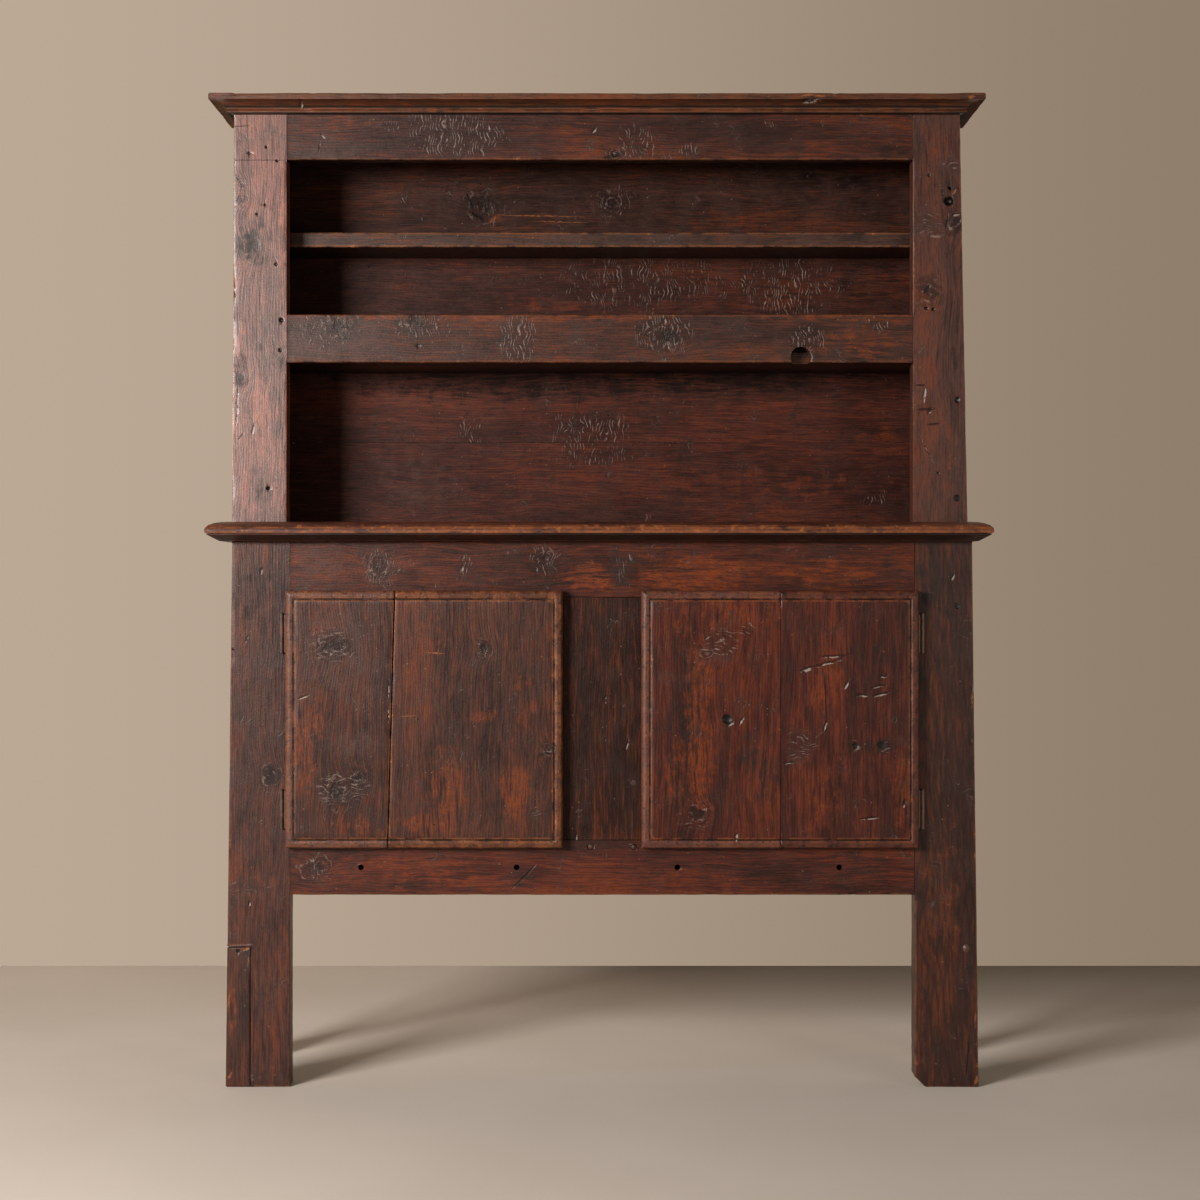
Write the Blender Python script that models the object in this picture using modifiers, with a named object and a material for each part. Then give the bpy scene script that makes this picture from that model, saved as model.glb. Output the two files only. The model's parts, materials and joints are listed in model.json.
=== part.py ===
# A rustic pine hutch: an open rack of shelves standing on a two-door base with four legs.
# Metres, +Z up. The front faces -Y. The origin is on the floor, under the middle of the whole piece.

import math

import bmesh
import bpy
from mathutils import Matrix, Vector

# Fits and worn edges
CLEARANCE = 0.0003
ARRIS = 0.002
SMALL_ARRIS = 0.0008
WELD = 0.00001

# Depths, front to back
BASE_DEPTH = 0.355
COUNTER_PROJECTION = 0.050
RACK_SETBACK = 0.130
BACK_BOARD_THICKNESS = 0.018

# The base was knocked together by hand, so its parts stand a little to the right of the cornice
BASE_SHIFT = 0.010
COUNTER_SHIFT = 0.004
RACK_SHIFT = 0.0055

# Base frame
BASE_OPENING_WIDTH = 1.212
BASE_STILE_WIDTH = 0.112
BASE_STILE_SPLAY = 0.013
BASE_STILE_THICKNESS = 0.048
BASE_RAIL_THICKNESS = 0.036
FLOOR_GAP = 0.3725
BOTTOM_RAIL_HEIGHT = 0.107
CUPBOARD_HEIGHT = 0.4715
TOP_RAIL_HEIGHT = 0.1223
MUNTIN_WIDTH = 0.178
BACK_LEG_WIDTH = 0.055
BACK_LEG_THICKNESS = 0.048

# Tenons
TENON_LENGTH = 0.045
TENON_SHOULDER = 0.012
TENON_THICKNESS = 0.012

# Feet
FOOT_CHAMFER = 0.021
SPLICE_HEIGHT = 0.272
SPLICE_WIDTH = 0.048
SPLICE_GAP = 0.0008

# Base sides, back and inside
SIDE_PANEL_THICKNESS = 0.022
SIDE_PANEL_INSET = 0.012
GROOVE_DEPTH = 0.008
BASE_BACK_BOARDS = 3
BACK_BOARD_INSET = 0.002
CABINET_FLOOR_THICKNESS = 0.025
CABINET_FLOOR_RISE = 0.042
CABINET_SHELF_THICKNESS = 0.022
CABINET_SHELF_RISE = 0.260
CABINET_SHELF_SETBACK = 0.075

# Pegs and nails of the base frame
PEG_RADIUS = 0.0055
PEG_STANDOUT = 0.0006
MUNTIN_PEG_DROP = 0.0135
MUNTIN_PEG_PLACES = (-0.022, 0.062)
LOST_PEG_DROP = 0.053
LOST_PEG_INSETS = {"left": (0.138, 0.440), "right": (0.146, 0.460)}
NAIL_INSET = 0.0197
NAIL_RISE = 0.270
NAIL_HEAD_RADIUS = 0.009
NAIL_CROWN_RADIUS = 0.004
NAIL_HEAD_HEIGHT = 0.005
NAIL_HEAD_EDGE = 0.00125
NAIL_CROWN_DROP = 0.00075
NAIL_SIDES = 8
NAIL_SHANK_RADIUS = 0.0028
NAIL_SHANK_LENGTH = 0.034

# Counter
COUNTER_OVERHANG = 0.040
COUNTER_THICKNESS = 0.0233
COUNTER_NOSE_RISE = 0.0058
COUNTER_SLOPE_RUN = 0.040
COUNTER_SLOPE_STEPS = 5
COUNTER_LOW_BEVEL = 0.002
UNDER_MOULDING_HEIGHT = 0.0145
UNDER_MOULDING_TOP_INSET = 0.004
UNDER_MOULDING_FOOT_INSET = 0.026

# Rack
RACK_HEIGHT = 0.821
RACK_OVERHANG = 0.018
RACK_STILE_WIDTH = 0.110
RACK_STILE_TAPERS = {"left": 0.004, "right": 0.0155}
RACK_STILE_THICKNESS = 0.048
RACK_RAIL_THICKNESS = 0.030
RACK_TOP_RAIL_HEIGHT = 0.0934
PLATE_RAIL_RISE = 0.3224
PLATE_RAIL_HEIGHT = 0.097
RACK_SIDE_INSET = 0.003
RACK_SIDE_THICKNESS = 0.022
LOWER_SHELF_THICKNESS = 0.025
UPPER_SHELF_THICKNESS = 0.031
UPPER_SHELF_RISE = 0.5628
UPPER_SHELF_SETBACK = 0.060
DADO_DEPTH = 0.008
RACK_TOP_THICKNESS = 0.018
RACK_BACK_BOARD_HEIGHTS = (0.177, 0.225, 0.180)
KNOT_NOTCH_RADIUS = 0.0205
KNOT_NOTCH_RISE = 0.012
KNOT_NOTCH_INSET = 0.224

# Cornice
CORNICE_PROJECTION = 0.0435
CORNICE_HEIGHT = 0.0345
CORNICE_DROP = 0.003
CORNICE_FILLET = 0.012
CORNICE_NECK = 0.012
CORNICE_BEAD_RADIUS = 0.0042
CORNICE_COVE_STEPS = 6

# Doors
DOOR_THICKNESS = 0.025
DOOR_FOOT_LAP = 0.014
DOOR_HEAD_LAP = 0.0125
DOOR_STILE_LAP = 0.006
DOOR_MUNTIN_LAP = 0.0135
DOOR_EDGE_ROUND = 0.009
DOOR_EDGE_STEPS = 3
DOOR_QUIRK_MARGIN = 0.0055
DOOR_QUIRK_WIDTH = 0.0022
DOOR_QUIRK_DEPTH = 0.0022
LEFT_DOOR_SEAM = {"low": 0.1986, "high": 0.2123, "gap": 0.0012}
RIGHT_DOOR_SEAM = {"low": 0.2684, "high": 0.2684, "gap": 0.0004}
BATTEN_SETBACK = 0.033
BATTEN_WIDTH = 0.070
BATTEN_THICKNESS = 0.020
BATTEN_EDGE = 0.095

# Hinges
HINGE_OFFSET = 0.009
HINGE_LENGTH = 0.075
HINGE_END_KNUCKLE = 0.014
HINGE_KNUCKLE_RADIUS = 0.0038
HINGE_BORE_RADIUS = 0.0022
HINGE_PIN_RADIUS = 0.0018
HINGE_PIN_HEAD_RADIUS = 0.0030
HINGE_PIN_HEAD_HEIGHT = 0.0025
HINGE_PIN_CROWN_RADIUS = 0.0021
HINGE_PIN_CROWN_DROP = 0.0005
HINGE_PIN_HEAD_EDGE = 0.00075
HINGE_PIN_TIP = 0.0015
HINGE_LEAF_THICKNESS = 0.0016
HINGE_FRAME_LEAF_WIDTH = 0.0145
HINGE_DOOR_LEAF_WIDTH = 0.030
HINGE_LEAF_RELIEF = 0.0043
HINGE_PLATE_INSET = 0.001
HINGE_FOOT_RISE = 0.0735
HINGE_HEAD_DROP = 0.0835
HINGE_SIDES = 16

ROUND_SIDES = 12

# Colours of the stained pine and the iron, as linear red, green and blue
LEG_RED = (0.075, 0.022, 0.014)
SPLICE_BROWN = (0.100, 0.036, 0.020)
BOTTOM_RAIL_RED = (0.082, 0.020, 0.013)
TOP_RAIL_RED = (0.090, 0.024, 0.013)
MUNTIN_BROWN = (0.045, 0.018, 0.013)
PEG_BROWN = (0.030, 0.013, 0.009)
BACK_LEG_BROWN = (0.060, 0.022, 0.014)
SIDE_BROWN = (0.070, 0.023, 0.015)
INSIDE_BROWN = (0.055, 0.022, 0.014)
COUNTER_BROWN = (0.130, 0.048, 0.024)
COUNTER_MOULDING_BROWN = (0.050, 0.020, 0.013)
RACK_STILE_ROSE = (0.120, 0.045, 0.036)
RACK_RAIL_BROWN = (0.085, 0.031, 0.023)
RACK_SHELF_BROWN = (0.065, 0.025, 0.018)
RACK_BACK_RED = (0.055, 0.018, 0.012)
DUSTY_BROWN = (0.065, 0.028, 0.018)
CORNICE_BROWN = (0.110, 0.034, 0.020)
DOOR_COLOURS = {"left": (0.095, 0.034, 0.020), "right": (0.105, 0.026, 0.013)}
FORGED_IRON = (0.028, 0.020, 0.018)

# Roughness and metallic values
WAXED = 0.42
UNPOLISHED = 0.6
IRON_ROUGHNESS = 0.5
IRON_METALLIC = 0.85

# Levels and planes that follow from the sizes above
BACK_Y = (BASE_DEPTH + COUNTER_PROJECTION) / 2
FRONT_Y = -BACK_Y
BASE_FRONT_Y = FRONT_Y + COUNTER_PROJECTION
RACK_FRONT_Y = BASE_FRONT_Y + RACK_SETBACK
BACK_BOARD_Y = BACK_Y - BACK_BOARD_THICKNESS
CARCASE_BACK_Y = BACK_BOARD_Y - CLEARANCE
BACK_LEG_Y = CARCASE_BACK_Y - BACK_LEG_THICKNESS
CUPBOARD_LOW = FLOOR_GAP + BOTTOM_RAIL_HEIGHT
CUPBOARD_HIGH = CUPBOARD_LOW + CUPBOARD_HEIGHT
BASE_TOP = CUPBOARD_HIGH + TOP_RAIL_HEIGHT
COUNTER_LOW = BASE_TOP + CLEARANCE
COUNTER_TOP = COUNTER_LOW + COUNTER_THICKNESS
RACK_LOW = COUNTER_TOP + CLEARANCE
RACK_TOP = RACK_LOW + RACK_HEIGHT
PLATE_RAIL_LOW = RACK_LOW + PLATE_RAIL_RISE
UPPER_SHELF_LOW = RACK_LOW + UPPER_SHELF_RISE
CORNICE_LOW = RACK_TOP - CORNICE_DROP
BASE_HALF_OPENING = BASE_OPENING_WIDTH / 2
BASE_HALF_TOP = BASE_HALF_OPENING + BASE_STILE_WIDTH
SIDE_PANEL_OUT = BASE_HALF_TOP - SIDE_PANEL_INSET
SIDE_PANEL_IN = SIDE_PANEL_OUT - SIDE_PANEL_THICKNESS
COUNTER_HALF = BASE_HALF_TOP + COUNTER_OVERHANG
RACK_HALF_OPENING = BASE_HALF_TOP + RACK_OVERHANG - RACK_STILE_WIDTH
RACK_TOP_HALF = max(
    abs(RACK_SHIFT + side * (RACK_HALF_OPENING + RACK_STILE_WIDTH - RACK_STILE_TAPERS[name]))
    for name, side in (("left", -1), ("right", 1))
)
RACK_SIDE_OUT = RACK_TOP_HALF - RACK_SIDE_INSET
RACK_SIDE_IN = RACK_SIDE_OUT - RACK_SIDE_THICKNESS
CORNICE_HALF = RACK_TOP_HALF + CORNICE_PROJECTION
HINGE_AXIS_Y = BASE_FRONT_Y - CLEARANCE - HINGE_KNUCKLE_RADIUS
DOOR_BACK_Y = BASE_FRONT_Y - 3 * CLEARANCE - 2 * HINGE_LEAF_THICKNESS
DOOR_LOW = CUPBOARD_LOW - DOOR_FOOT_LAP
DOOR_HEIGHT = CUPBOARD_HIGH + DOOR_HEAD_LAP - DOOR_LOW
DOOR_INNER = MUNTIN_WIDTH / 2 - DOOR_MUNTIN_LAP
DOOR_OUTER = BASE_HALF_OPENING + DOOR_STILE_LAP
DOOR_WIDTH = DOOR_OUTER - DOOR_INNER

SIDES = (("left", -1), ("right", 1))


def clear_scene():
    for existing in list(bpy.data.objects):
        bpy.data.objects.remove(existing, do_unlink=True)


def new_collection(name):
    collection = bpy.data.collections.new(name)
    bpy.context.scene.collection.children.link(collection)
    return collection


def finish(name, colour, roughness, metallic=0.0):
    """A plain Principled material."""
    material = bpy.data.materials.new(name)
    material.use_nodes = True
    shader = material.node_tree.nodes["Principled BSDF"]
    shader.inputs["Base Color"].default_value = (*colour, 1.0)
    shader.inputs["Roughness"].default_value = roughness
    shader.inputs["Metallic"].default_value = metallic
    return material


clear_scene()
HUTCH = new_collection("hutch")
CUTTERS = new_collection("cutters")


def add_object(name, mesh, location, axis=None, material=None):
    """A named piece of the hutch. With an axis empty, the piece hangs on that empty."""
    piece = bpy.data.objects.new(name, mesh)
    HUTCH.objects.link(piece)
    piece.location = location
    if axis is not None:
        piece.parent = axis
        piece.location = Vector(location) - axis.location
    if material is not None:
        mesh.materials.append(material)
    return piece


def wood_finish(name, colour, roughness=WAXED):
    return finish(name + "_stained_pine", colour, roughness)


def iron_finish(name):
    return finish(name + "_forged_iron", FORGED_IRON, IRON_ROUGHNESS, IRON_METALLIC)


def box_mesh(name, size):
    mesh = bpy.data.meshes.new(name)
    shape = bmesh.new()
    bmesh.ops.create_cube(shape, size=1.0)
    bmesh.ops.scale(shape, vec=size, verts=shape.verts)
    shape.to_mesh(mesh)
    shape.free()
    return mesh


def middle_and_size(low, high):
    low = Vector(low)
    high = Vector(high)
    return (low + high) / 2, high - low


def wear(piece, width=ARRIS):
    """Takes the sharp arris off every edge of a piece."""
    bevel = piece.modifiers.new("worn_arris", "BEVEL")
    bevel.width = width
    bevel.segments = 1
    bevel.limit_method = "ANGLE"
    return piece


def board(name, low, high, material, axis=None, arris=ARRIS):
    """A sawn board between two corners."""
    middle, size = middle_and_size(low, high)
    piece = add_object(name, box_mesh(name, size), middle, axis, material)
    return wear(piece, arris)


def hidden_helper(name, mesh, location):
    """A shape that only cuts or joins, and isn't a piece of the hutch."""
    helper = bpy.data.objects.new(name, mesh)
    CUTTERS.objects.link(helper)
    helper.location = location
    helper.hide_render = True
    helper.display_type = "WIRE"
    return helper


def hidden_box(name, low, high):
    middle, size = middle_and_size(low, high)
    return hidden_helper(name, box_mesh(name, size), middle)


def hidden_cylinder(name, centre, radius, length, axis, sides=ROUND_SIDES):
    """A helper cylinder along one of the axes X, Y and Z."""
    mesh = bpy.data.meshes.new(name)
    shape = bmesh.new()
    bmesh.ops.create_cone(
        shape, cap_ends=True, segments=sides, radius1=radius, radius2=radius, depth=length
    )
    turns = {"X": Matrix.Rotation(math.pi / 2, 4, "Y"), "Y": Matrix.Rotation(math.pi / 2, 4, "X")}
    if axis in turns:
        bmesh.ops.transform(shape, matrix=turns[axis], verts=shape.verts)
    shape.to_mesh(mesh)
    shape.free()
    return hidden_helper(name, mesh, centre)


def boolean(piece, helper, operation):
    modifier = piece.modifiers.new(helper.name, "BOOLEAN")
    modifier.operation = operation
    modifier.solver = "EXACT"
    modifier.object = helper
    return piece


def cut(piece, helper):
    return boolean(piece, helper, "DIFFERENCE")


def join(piece, helper):
    return boolean(piece, helper, "UNION")


def outline_mesh(name, points, thickness, upright):
    """A flat outline given its thickness. Upright, it stands in the X-Z plane."""
    curve = bpy.data.curves.new(name + "_outline", "CURVE")
    curve.dimensions = "2D"
    curve.fill_mode = "BOTH"
    curve.extrude = thickness / 2
    spline = curve.splines.new("POLY")
    spline.points.add(len(points) - 1)
    for place, (across, along) in zip(spline.points, points):
        place.co = (across, along, 0.0, 1.0)
    spline.use_cyclic_u = True
    guide = bpy.data.objects.new(name + "_outline", curve)
    CUTTERS.objects.link(guide)
    graph = bpy.context.evaluated_depsgraph_get()
    mesh = bpy.data.meshes.new_from_object(guide.evaluated_get(graph))
    mesh.name = name
    bpy.data.objects.remove(guide, do_unlink=True)
    shape = bmesh.new()
    shape.from_mesh(mesh)
    bmesh.ops.remove_doubles(shape, verts=shape.verts, dist=WELD)
    if upright:
        turn = Matrix.Rotation(math.pi / 2, 4, "X")
        bmesh.ops.transform(shape, matrix=turn, verts=shape.verts)
    bmesh.ops.recalc_face_normals(shape, faces=shape.faces)
    shape.to_mesh(mesh)
    shape.free()
    return mesh


def corners_only(points):
    """The outline without repeated points and without points along a straight run."""
    points = [
        Vector(point)
        for number, point in enumerate(points)
        if (Vector(point) - Vector(points[number - 1])).length > WELD
    ]
    corners = []
    for number, point in enumerate(points):
        before = (point - points[number - 1]).normalized()
        after = (points[(number + 1) % len(points)] - point).normalized()
        if abs(before.x * after.y - before.y * after.x) > WELD:
            corners.append(point)
    return corners


def upright_outline(name, points, low_y, high_y, material, axis=None, arris=ARRIS):
    mesh = outline_mesh(name, points, high_y - low_y, upright=True)
    piece = add_object(name, mesh, (0.0, (low_y + high_y) / 2, 0.0), axis, material)
    return wear(piece, arris)


def flat_outline(name, points, low_z, high_z, material, arris=ARRIS):
    mesh = outline_mesh(name, points, high_z - low_z, upright=False)
    piece = add_object(name, mesh, (0.0, 0.0, (low_z + high_z) / 2), None, material)
    return wear(piece, arris)


def grown(low, high, by):
    """The same box, larger by a clearance on every side."""
    return [value - by for value in low], [value + by for value in high]


def tenon_box(low, high, along):
    """The core of a rail, with its tenons standing out of both ends along X or Z."""
    low = list(low)
    high = list(high)
    across = {0: 2, 2: 0}[along]
    depth = (high[1] - low[1] - TENON_THICKNESS) / 2
    low[along] -= TENON_LENGTH
    high[along] += TENON_LENGTH
    low[across] += TENON_SHOULDER
    high[across] -= TENON_SHOULDER
    low[1] += depth
    high[1] -= depth
    return low, high


def tenoned_rail(name, low, high, along, material, carriers):
    """A rail with a tenon at each end, and the mortises for them in the pieces that carry it."""
    rail = board(name, low, high, material)
    core = tenon_box(low, high, along)
    join(rail, hidden_box(name + "_tenons", *core))
    mortise = hidden_box(name + "_mortises", *grown(*core, CLEARANCE))
    for carrier in carriers:
        cut(carrier, mortise)
    return rail


def base_outer_x(side, height):
    """The outer edge of a base leg, which splays towards the floor."""
    splay = BASE_STILE_SPLAY * (1 - height / BASE_TOP)
    return BASE_SHIFT + side * (BASE_HALF_TOP + splay)


def build_base_stiles():
    """The two front legs run from the floor to the counter. The left foot has a spliced repair."""
    stiles = {}
    inner = BASE_SHIFT - BASE_HALF_OPENING
    seam = base_outer_x(-1, 0) + SPLICE_WIDTH
    left_points = [
        (seam + SPLICE_GAP, 0),
        (inner, 0),
        (inner, BASE_TOP),
        (base_outer_x(-1, BASE_TOP), BASE_TOP),
        (base_outer_x(-1, SPLICE_HEIGHT), SPLICE_HEIGHT + SPLICE_GAP),
        (seam + SPLICE_GAP, SPLICE_HEIGHT + SPLICE_GAP),
    ]
    splice_points = [
        (base_outer_x(-1, 0), 0),
        (seam, 0),
        (seam, SPLICE_HEIGHT),
        (base_outer_x(-1, SPLICE_HEIGHT), SPLICE_HEIGHT),
    ]
    inner = BASE_SHIFT + BASE_HALF_OPENING
    right_points = [
        (inner, FOOT_CHAMFER),
        (inner + FOOT_CHAMFER, 0),
        (base_outer_x(1, 0), 0),
        (base_outer_x(1, BASE_TOP), BASE_TOP),
        (inner, BASE_TOP),
    ]
    back = BASE_FRONT_Y + BASE_STILE_THICKNESS
    for name, points in (("left", left_points), ("right", right_points)):
        material = wood_finish("base_stile_" + name, LEG_RED)
        stiles[name] = upright_outline(
            "base_stile_" + name, points, BASE_FRONT_Y, back, material
        )
    splice_wood = wood_finish("left_foot_splice", SPLICE_BROWN)
    upright_outline("left_foot_splice", splice_points, BASE_FRONT_Y, back, splice_wood)
    return stiles


def build_base_rails(stiles):
    """The face frame between the legs, put together with tenons."""
    back = BASE_FRONT_Y + BASE_RAIL_THICKNESS
    left = BASE_SHIFT - BASE_HALF_OPENING + CLEARANCE
    right = BASE_SHIFT + BASE_HALF_OPENING - CLEARANCE
    carriers = list(stiles.values())
    bottom = tenoned_rail(
        "base_bottom_rail",
        (left, BASE_FRONT_Y, FLOOR_GAP),
        (right, back, CUPBOARD_LOW),
        0,
        wood_finish("base_bottom_rail", BOTTOM_RAIL_RED),
        carriers,
    )
    top = tenoned_rail(
        "base_top_rail",
        (left, BASE_FRONT_Y, CUPBOARD_HIGH),
        (right, back, BASE_TOP),
        0,
        wood_finish("base_top_rail", TOP_RAIL_RED),
        carriers,
    )
    muntin = tenoned_rail(
        "base_muntin",
        (BASE_SHIFT - MUNTIN_WIDTH / 2, BASE_FRONT_Y, CUPBOARD_LOW + CLEARANCE),
        (BASE_SHIFT + MUNTIN_WIDTH / 2, back, CUPBOARD_HIGH - CLEARANCE),
        2,
        wood_finish("base_muntin", MUNTIN_BROWN),
        [bottom, top],
    )
    return bottom, muntin


def build_pegs(bottom_rail, muntin):
    """Two pegs through the foot of the muntin, and four holes whose pegs are lost."""
    middle = BASE_FRONT_Y + BASE_RAIL_THICKNESS / 2
    through = 2 * BASE_RAIL_THICKNESS
    material = wood_finish("muntin_peg", PEG_BROWN)
    height = CUPBOARD_LOW - MUNTIN_PEG_DROP
    for number, place in enumerate(MUNTIN_PEG_PLACES, 1):
        centre = (BASE_SHIFT + place, middle, height)
        bore = hidden_cylinder(
            f"muntin_peg_bore_{number}", centre, PEG_RADIUS + CLEARANCE, through, "Y"
        )
        cut(bottom_rail, bore)
        cut(muntin, bore)
        mesh = bpy.data.meshes.new("muntin_peg")
        shape = bmesh.new()
        bmesh.ops.create_cone(
            shape,
            cap_ends=True,
            segments=ROUND_SIDES,
            radius1=PEG_RADIUS,
            radius2=PEG_RADIUS,
            depth=BASE_RAIL_THICKNESS + PEG_STANDOUT,
            matrix=Matrix.Rotation(math.pi / 2, 4, "X"),
        )
        shape.to_mesh(mesh)
        shape.free()
        peg = add_object(
            f"muntin_peg_{number}",
            mesh,
            (centre[0], middle - PEG_STANDOUT / 2, height),
            None,
            material,
        )
        wear(peg, SMALL_ARRIS)
    for name, side in SIDES:
        for number, inset in enumerate(LOST_PEG_INSETS[name], 1):
            place = BASE_SHIFT + side * (BASE_HALF_OPENING - inset)
            centre = (place, middle, CUPBOARD_LOW - LOST_PEG_DROP)
            bore_name = f"{name}_lost_peg_bore_{number}"
            cut(bottom_rail, hidden_cylinder(bore_name, centre, PEG_RADIUS, through, "Y"))


def build_nail(stile):
    """A forged nail with a raised head in the right leg."""
    crown = CLEARANCE + NAIL_HEAD_HEIGHT
    point = CLEARANCE - NAIL_SHANK_LENGTH
    profile = [
        (0.0, crown),
        (NAIL_CROWN_RADIUS, crown - NAIL_CROWN_DROP),
        (NAIL_HEAD_RADIUS, CLEARANCE + NAIL_HEAD_EDGE),
        (NAIL_HEAD_RADIUS, CLEARANCE),
        (NAIL_SHANK_RADIUS, CLEARANCE),
        (NAIL_SHANK_RADIUS, point + NAIL_SHANK_RADIUS),
        (0.0, point),
    ]
    centre = Vector((base_outer_x(1, NAIL_RISE) - NAIL_INSET, BASE_FRONT_Y, NAIL_RISE))
    nail = turned_piece("rose_head_nail", profile, centre, NAIL_SIDES, iron_finish("nail"))
    nail.rotation_euler = (math.pi / 2, 0.0, 0.0)
    bore_radius = NAIL_SHANK_RADIUS + CLEARANCE
    bore_length = 2 * (NAIL_SHANK_LENGTH + CLEARANCE)
    cut(stile, hidden_cylinder("nail_bore", centre, bore_radius, bore_length, "Y", NAIL_SIDES))


def turned_piece(name, profile, location, sides, material):
    """A round piece turned from (radius, height) points, listed from the top down its outer side."""
    mesh = bpy.data.meshes.new(name)
    shape = bmesh.new()
    points = [shape.verts.new((radius, 0.0, height)) for radius, height in profile]
    for first, second in zip(points, points[1:]):
        shape.edges.new((first, second))
    shape.to_mesh(mesh)
    shape.free()
    piece = add_object(name, mesh, location, None, material)
    screw = piece.modifiers.new("turning", "SCREW")
    screw.steps = sides
    screw.render_steps = sides
    screw.use_merge_vertices = True
    screw.merge_threshold = WELD
    screw.use_smooth_shade = True
    return piece


def leg_outline(side):
    """A back leg, straight inside and splayed outside like the front one."""
    inner = BASE_SHIFT + side * (BASE_HALF_TOP - BACK_LEG_WIDTH)
    return [
        (inner, 0),
        (base_outer_x(side, 0), 0),
        (base_outer_x(side, BASE_TOP), BASE_TOP),
        (inner, BASE_TOP),
    ]


def build_base_sides(stiles):
    """Back legs and side panels. Each panel stands in grooves in the front and back leg."""
    panels = {}
    for name, side in SIDES:
        leg = upright_outline(
            "base_back_leg_" + name,
            leg_outline(side),
            BACK_LEG_Y,
            CARCASE_BACK_Y,
            wood_finish("base_back_leg_" + name, BACK_LEG_BROWN),
        )
        edges = sorted((BASE_SHIFT + side * SIDE_PANEL_IN, BASE_SHIFT + side * SIDE_PANEL_OUT))
        front = BASE_FRONT_Y + BASE_STILE_THICKNESS - GROOVE_DEPTH + CLEARANCE
        back = BACK_LEG_Y + GROOVE_DEPTH - CLEARANCE
        low = (edges[0], front, FLOOR_GAP)
        high = (edges[1], back, BASE_TOP)
        panels[name] = board(
            "base_side_panel_" + name,
            low,
            high,
            wood_finish("base_side_panel_" + name, SIDE_BROWN),
            arris=SMALL_ARRIS,
        )
        groove = hidden_box("side_groove_" + name, *grown(low, high, CLEARANCE))
        cut(stiles[name], groove)
        cut(leg, groove)
    return panels


def both_sides(centre, half):
    """The left and the right X place at the same distance from a middle line."""
    return centre - half, centre + half


def notched_shelf(ends, front, back, front_notch=None, back_notch=None):
    """Outline of a shelf with its corners cut out for the posts.

    A notch is the pair of X places between the posts, and the Y place of its inner face."""
    points = []
    for number, end in enumerate(ends):
        corner = [(end, front), (end, back)]
        if front_notch:
            between, depth = front_notch
            corner[:1] = [(between[number], front), (between[number], depth), (end, depth)]
        if back_notch:
            between, depth = back_notch
            corner[-1:] = [(end, depth), (between[number], depth), (between[number], back)]
        points += corner if number == 0 else corner[::-1]
    return points


def house(panels, ends, front, back, low_z, high_z, name):
    """Cuts the housing for a shelf's ends in both side boards."""
    low = (ends[0], front, low_z)
    high = (ends[1], back, high_z)
    dado = hidden_box(name + "_housing", *grown(low, high, CLEARANCE))
    for panel in panels.values():
        cut(panel, dado)


def build_cabinet_inside(panels):
    """The floor of the cupboard and one shelf, housed in the side panels."""
    ends = both_sides(BASE_SHIFT, SIDE_PANEL_IN + DADO_DEPTH - CLEARANCE)
    back = CARCASE_BACK_Y
    leg_notch = (
        both_sides(BASE_SHIFT, BASE_HALF_TOP - BACK_LEG_WIDTH - CLEARANCE),
        BACK_LEG_Y - CLEARANCE,
    )
    floor_low = FLOOR_GAP + CABINET_FLOOR_RISE
    floor_high = floor_low + CABINET_FLOOR_THICKNESS
    floor_front = BASE_FRONT_Y + BASE_RAIL_THICKNESS + CLEARANCE
    stile_notch = (
        both_sides(BASE_SHIFT, BASE_HALF_OPENING - CLEARANCE),
        BASE_FRONT_Y + BASE_STILE_THICKNESS + CLEARANCE,
    )
    flat_outline(
        "cabinet_floor",
        notched_shelf(ends, floor_front, back, stile_notch, leg_notch),
        floor_low,
        floor_high,
        wood_finish("cabinet_floor", INSIDE_BROWN, UNPOLISHED),
        SMALL_ARRIS,
    )
    house(panels, ends, stile_notch[1], leg_notch[1], floor_low, floor_high, "floor")
    shelf_low = floor_high + CABINET_SHELF_RISE
    shelf_high = shelf_low + CABINET_SHELF_THICKNESS
    shelf_front = BASE_FRONT_Y + CABINET_SHELF_SETBACK
    flat_outline(
        "cabinet_shelf",
        notched_shelf(ends, shelf_front, back, back_notch=leg_notch),
        shelf_low,
        shelf_high,
        wood_finish("cabinet_shelf", INSIDE_BROWN, UNPOLISHED),
        SMALL_ARRIS,
    )
    house(panels, ends, shelf_front, leg_notch[1], shelf_low, shelf_high, "shelf")


def build_base_back():
    """Horizontal boards nailed across the back legs."""
    height = (BASE_TOP - FLOOR_GAP - (BASE_BACK_BOARDS - 1) * CLEARANCE) / BASE_BACK_BOARDS
    half = BASE_HALF_TOP - BACK_BOARD_INSET
    for number in range(BASE_BACK_BOARDS):
        low = FLOOR_GAP + number * (height + CLEARANCE)
        name = f"base_back_board_{number + 1}"
        board(
            name,
            (BASE_SHIFT - half, BACK_BOARD_Y, low),
            (BASE_SHIFT + half, BACK_Y, low + height),
            wood_finish(name, DUSTY_BROWN, UNPOLISHED),
            arris=SMALL_ARRIS,
        )


def outer_edges(shape, height):
    """The front and end edges of a slab at the given level, but not its back edge."""
    found = []
    back = max(point.co.y for point in shape.verts)
    for edge in shape.edges:
        first, second = (point.co for point in edge.verts)
        level = abs(first.z - height) < WELD and abs(second.z - height) < WELD
        at_back = abs(first.y - back) < WELD and abs(second.y - back) < WELD
        if level and not at_back:
            found.append(edge)
    return found


def round_edges(shape, edges, width, segments):
    bmesh.ops.bevel(
        shape,
        geom=edges,
        offset=width,
        offset_type="OFFSET",
        segments=segments,
        profile=0.5,
        affect="EDGES",
        material=-1,
    )


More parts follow.
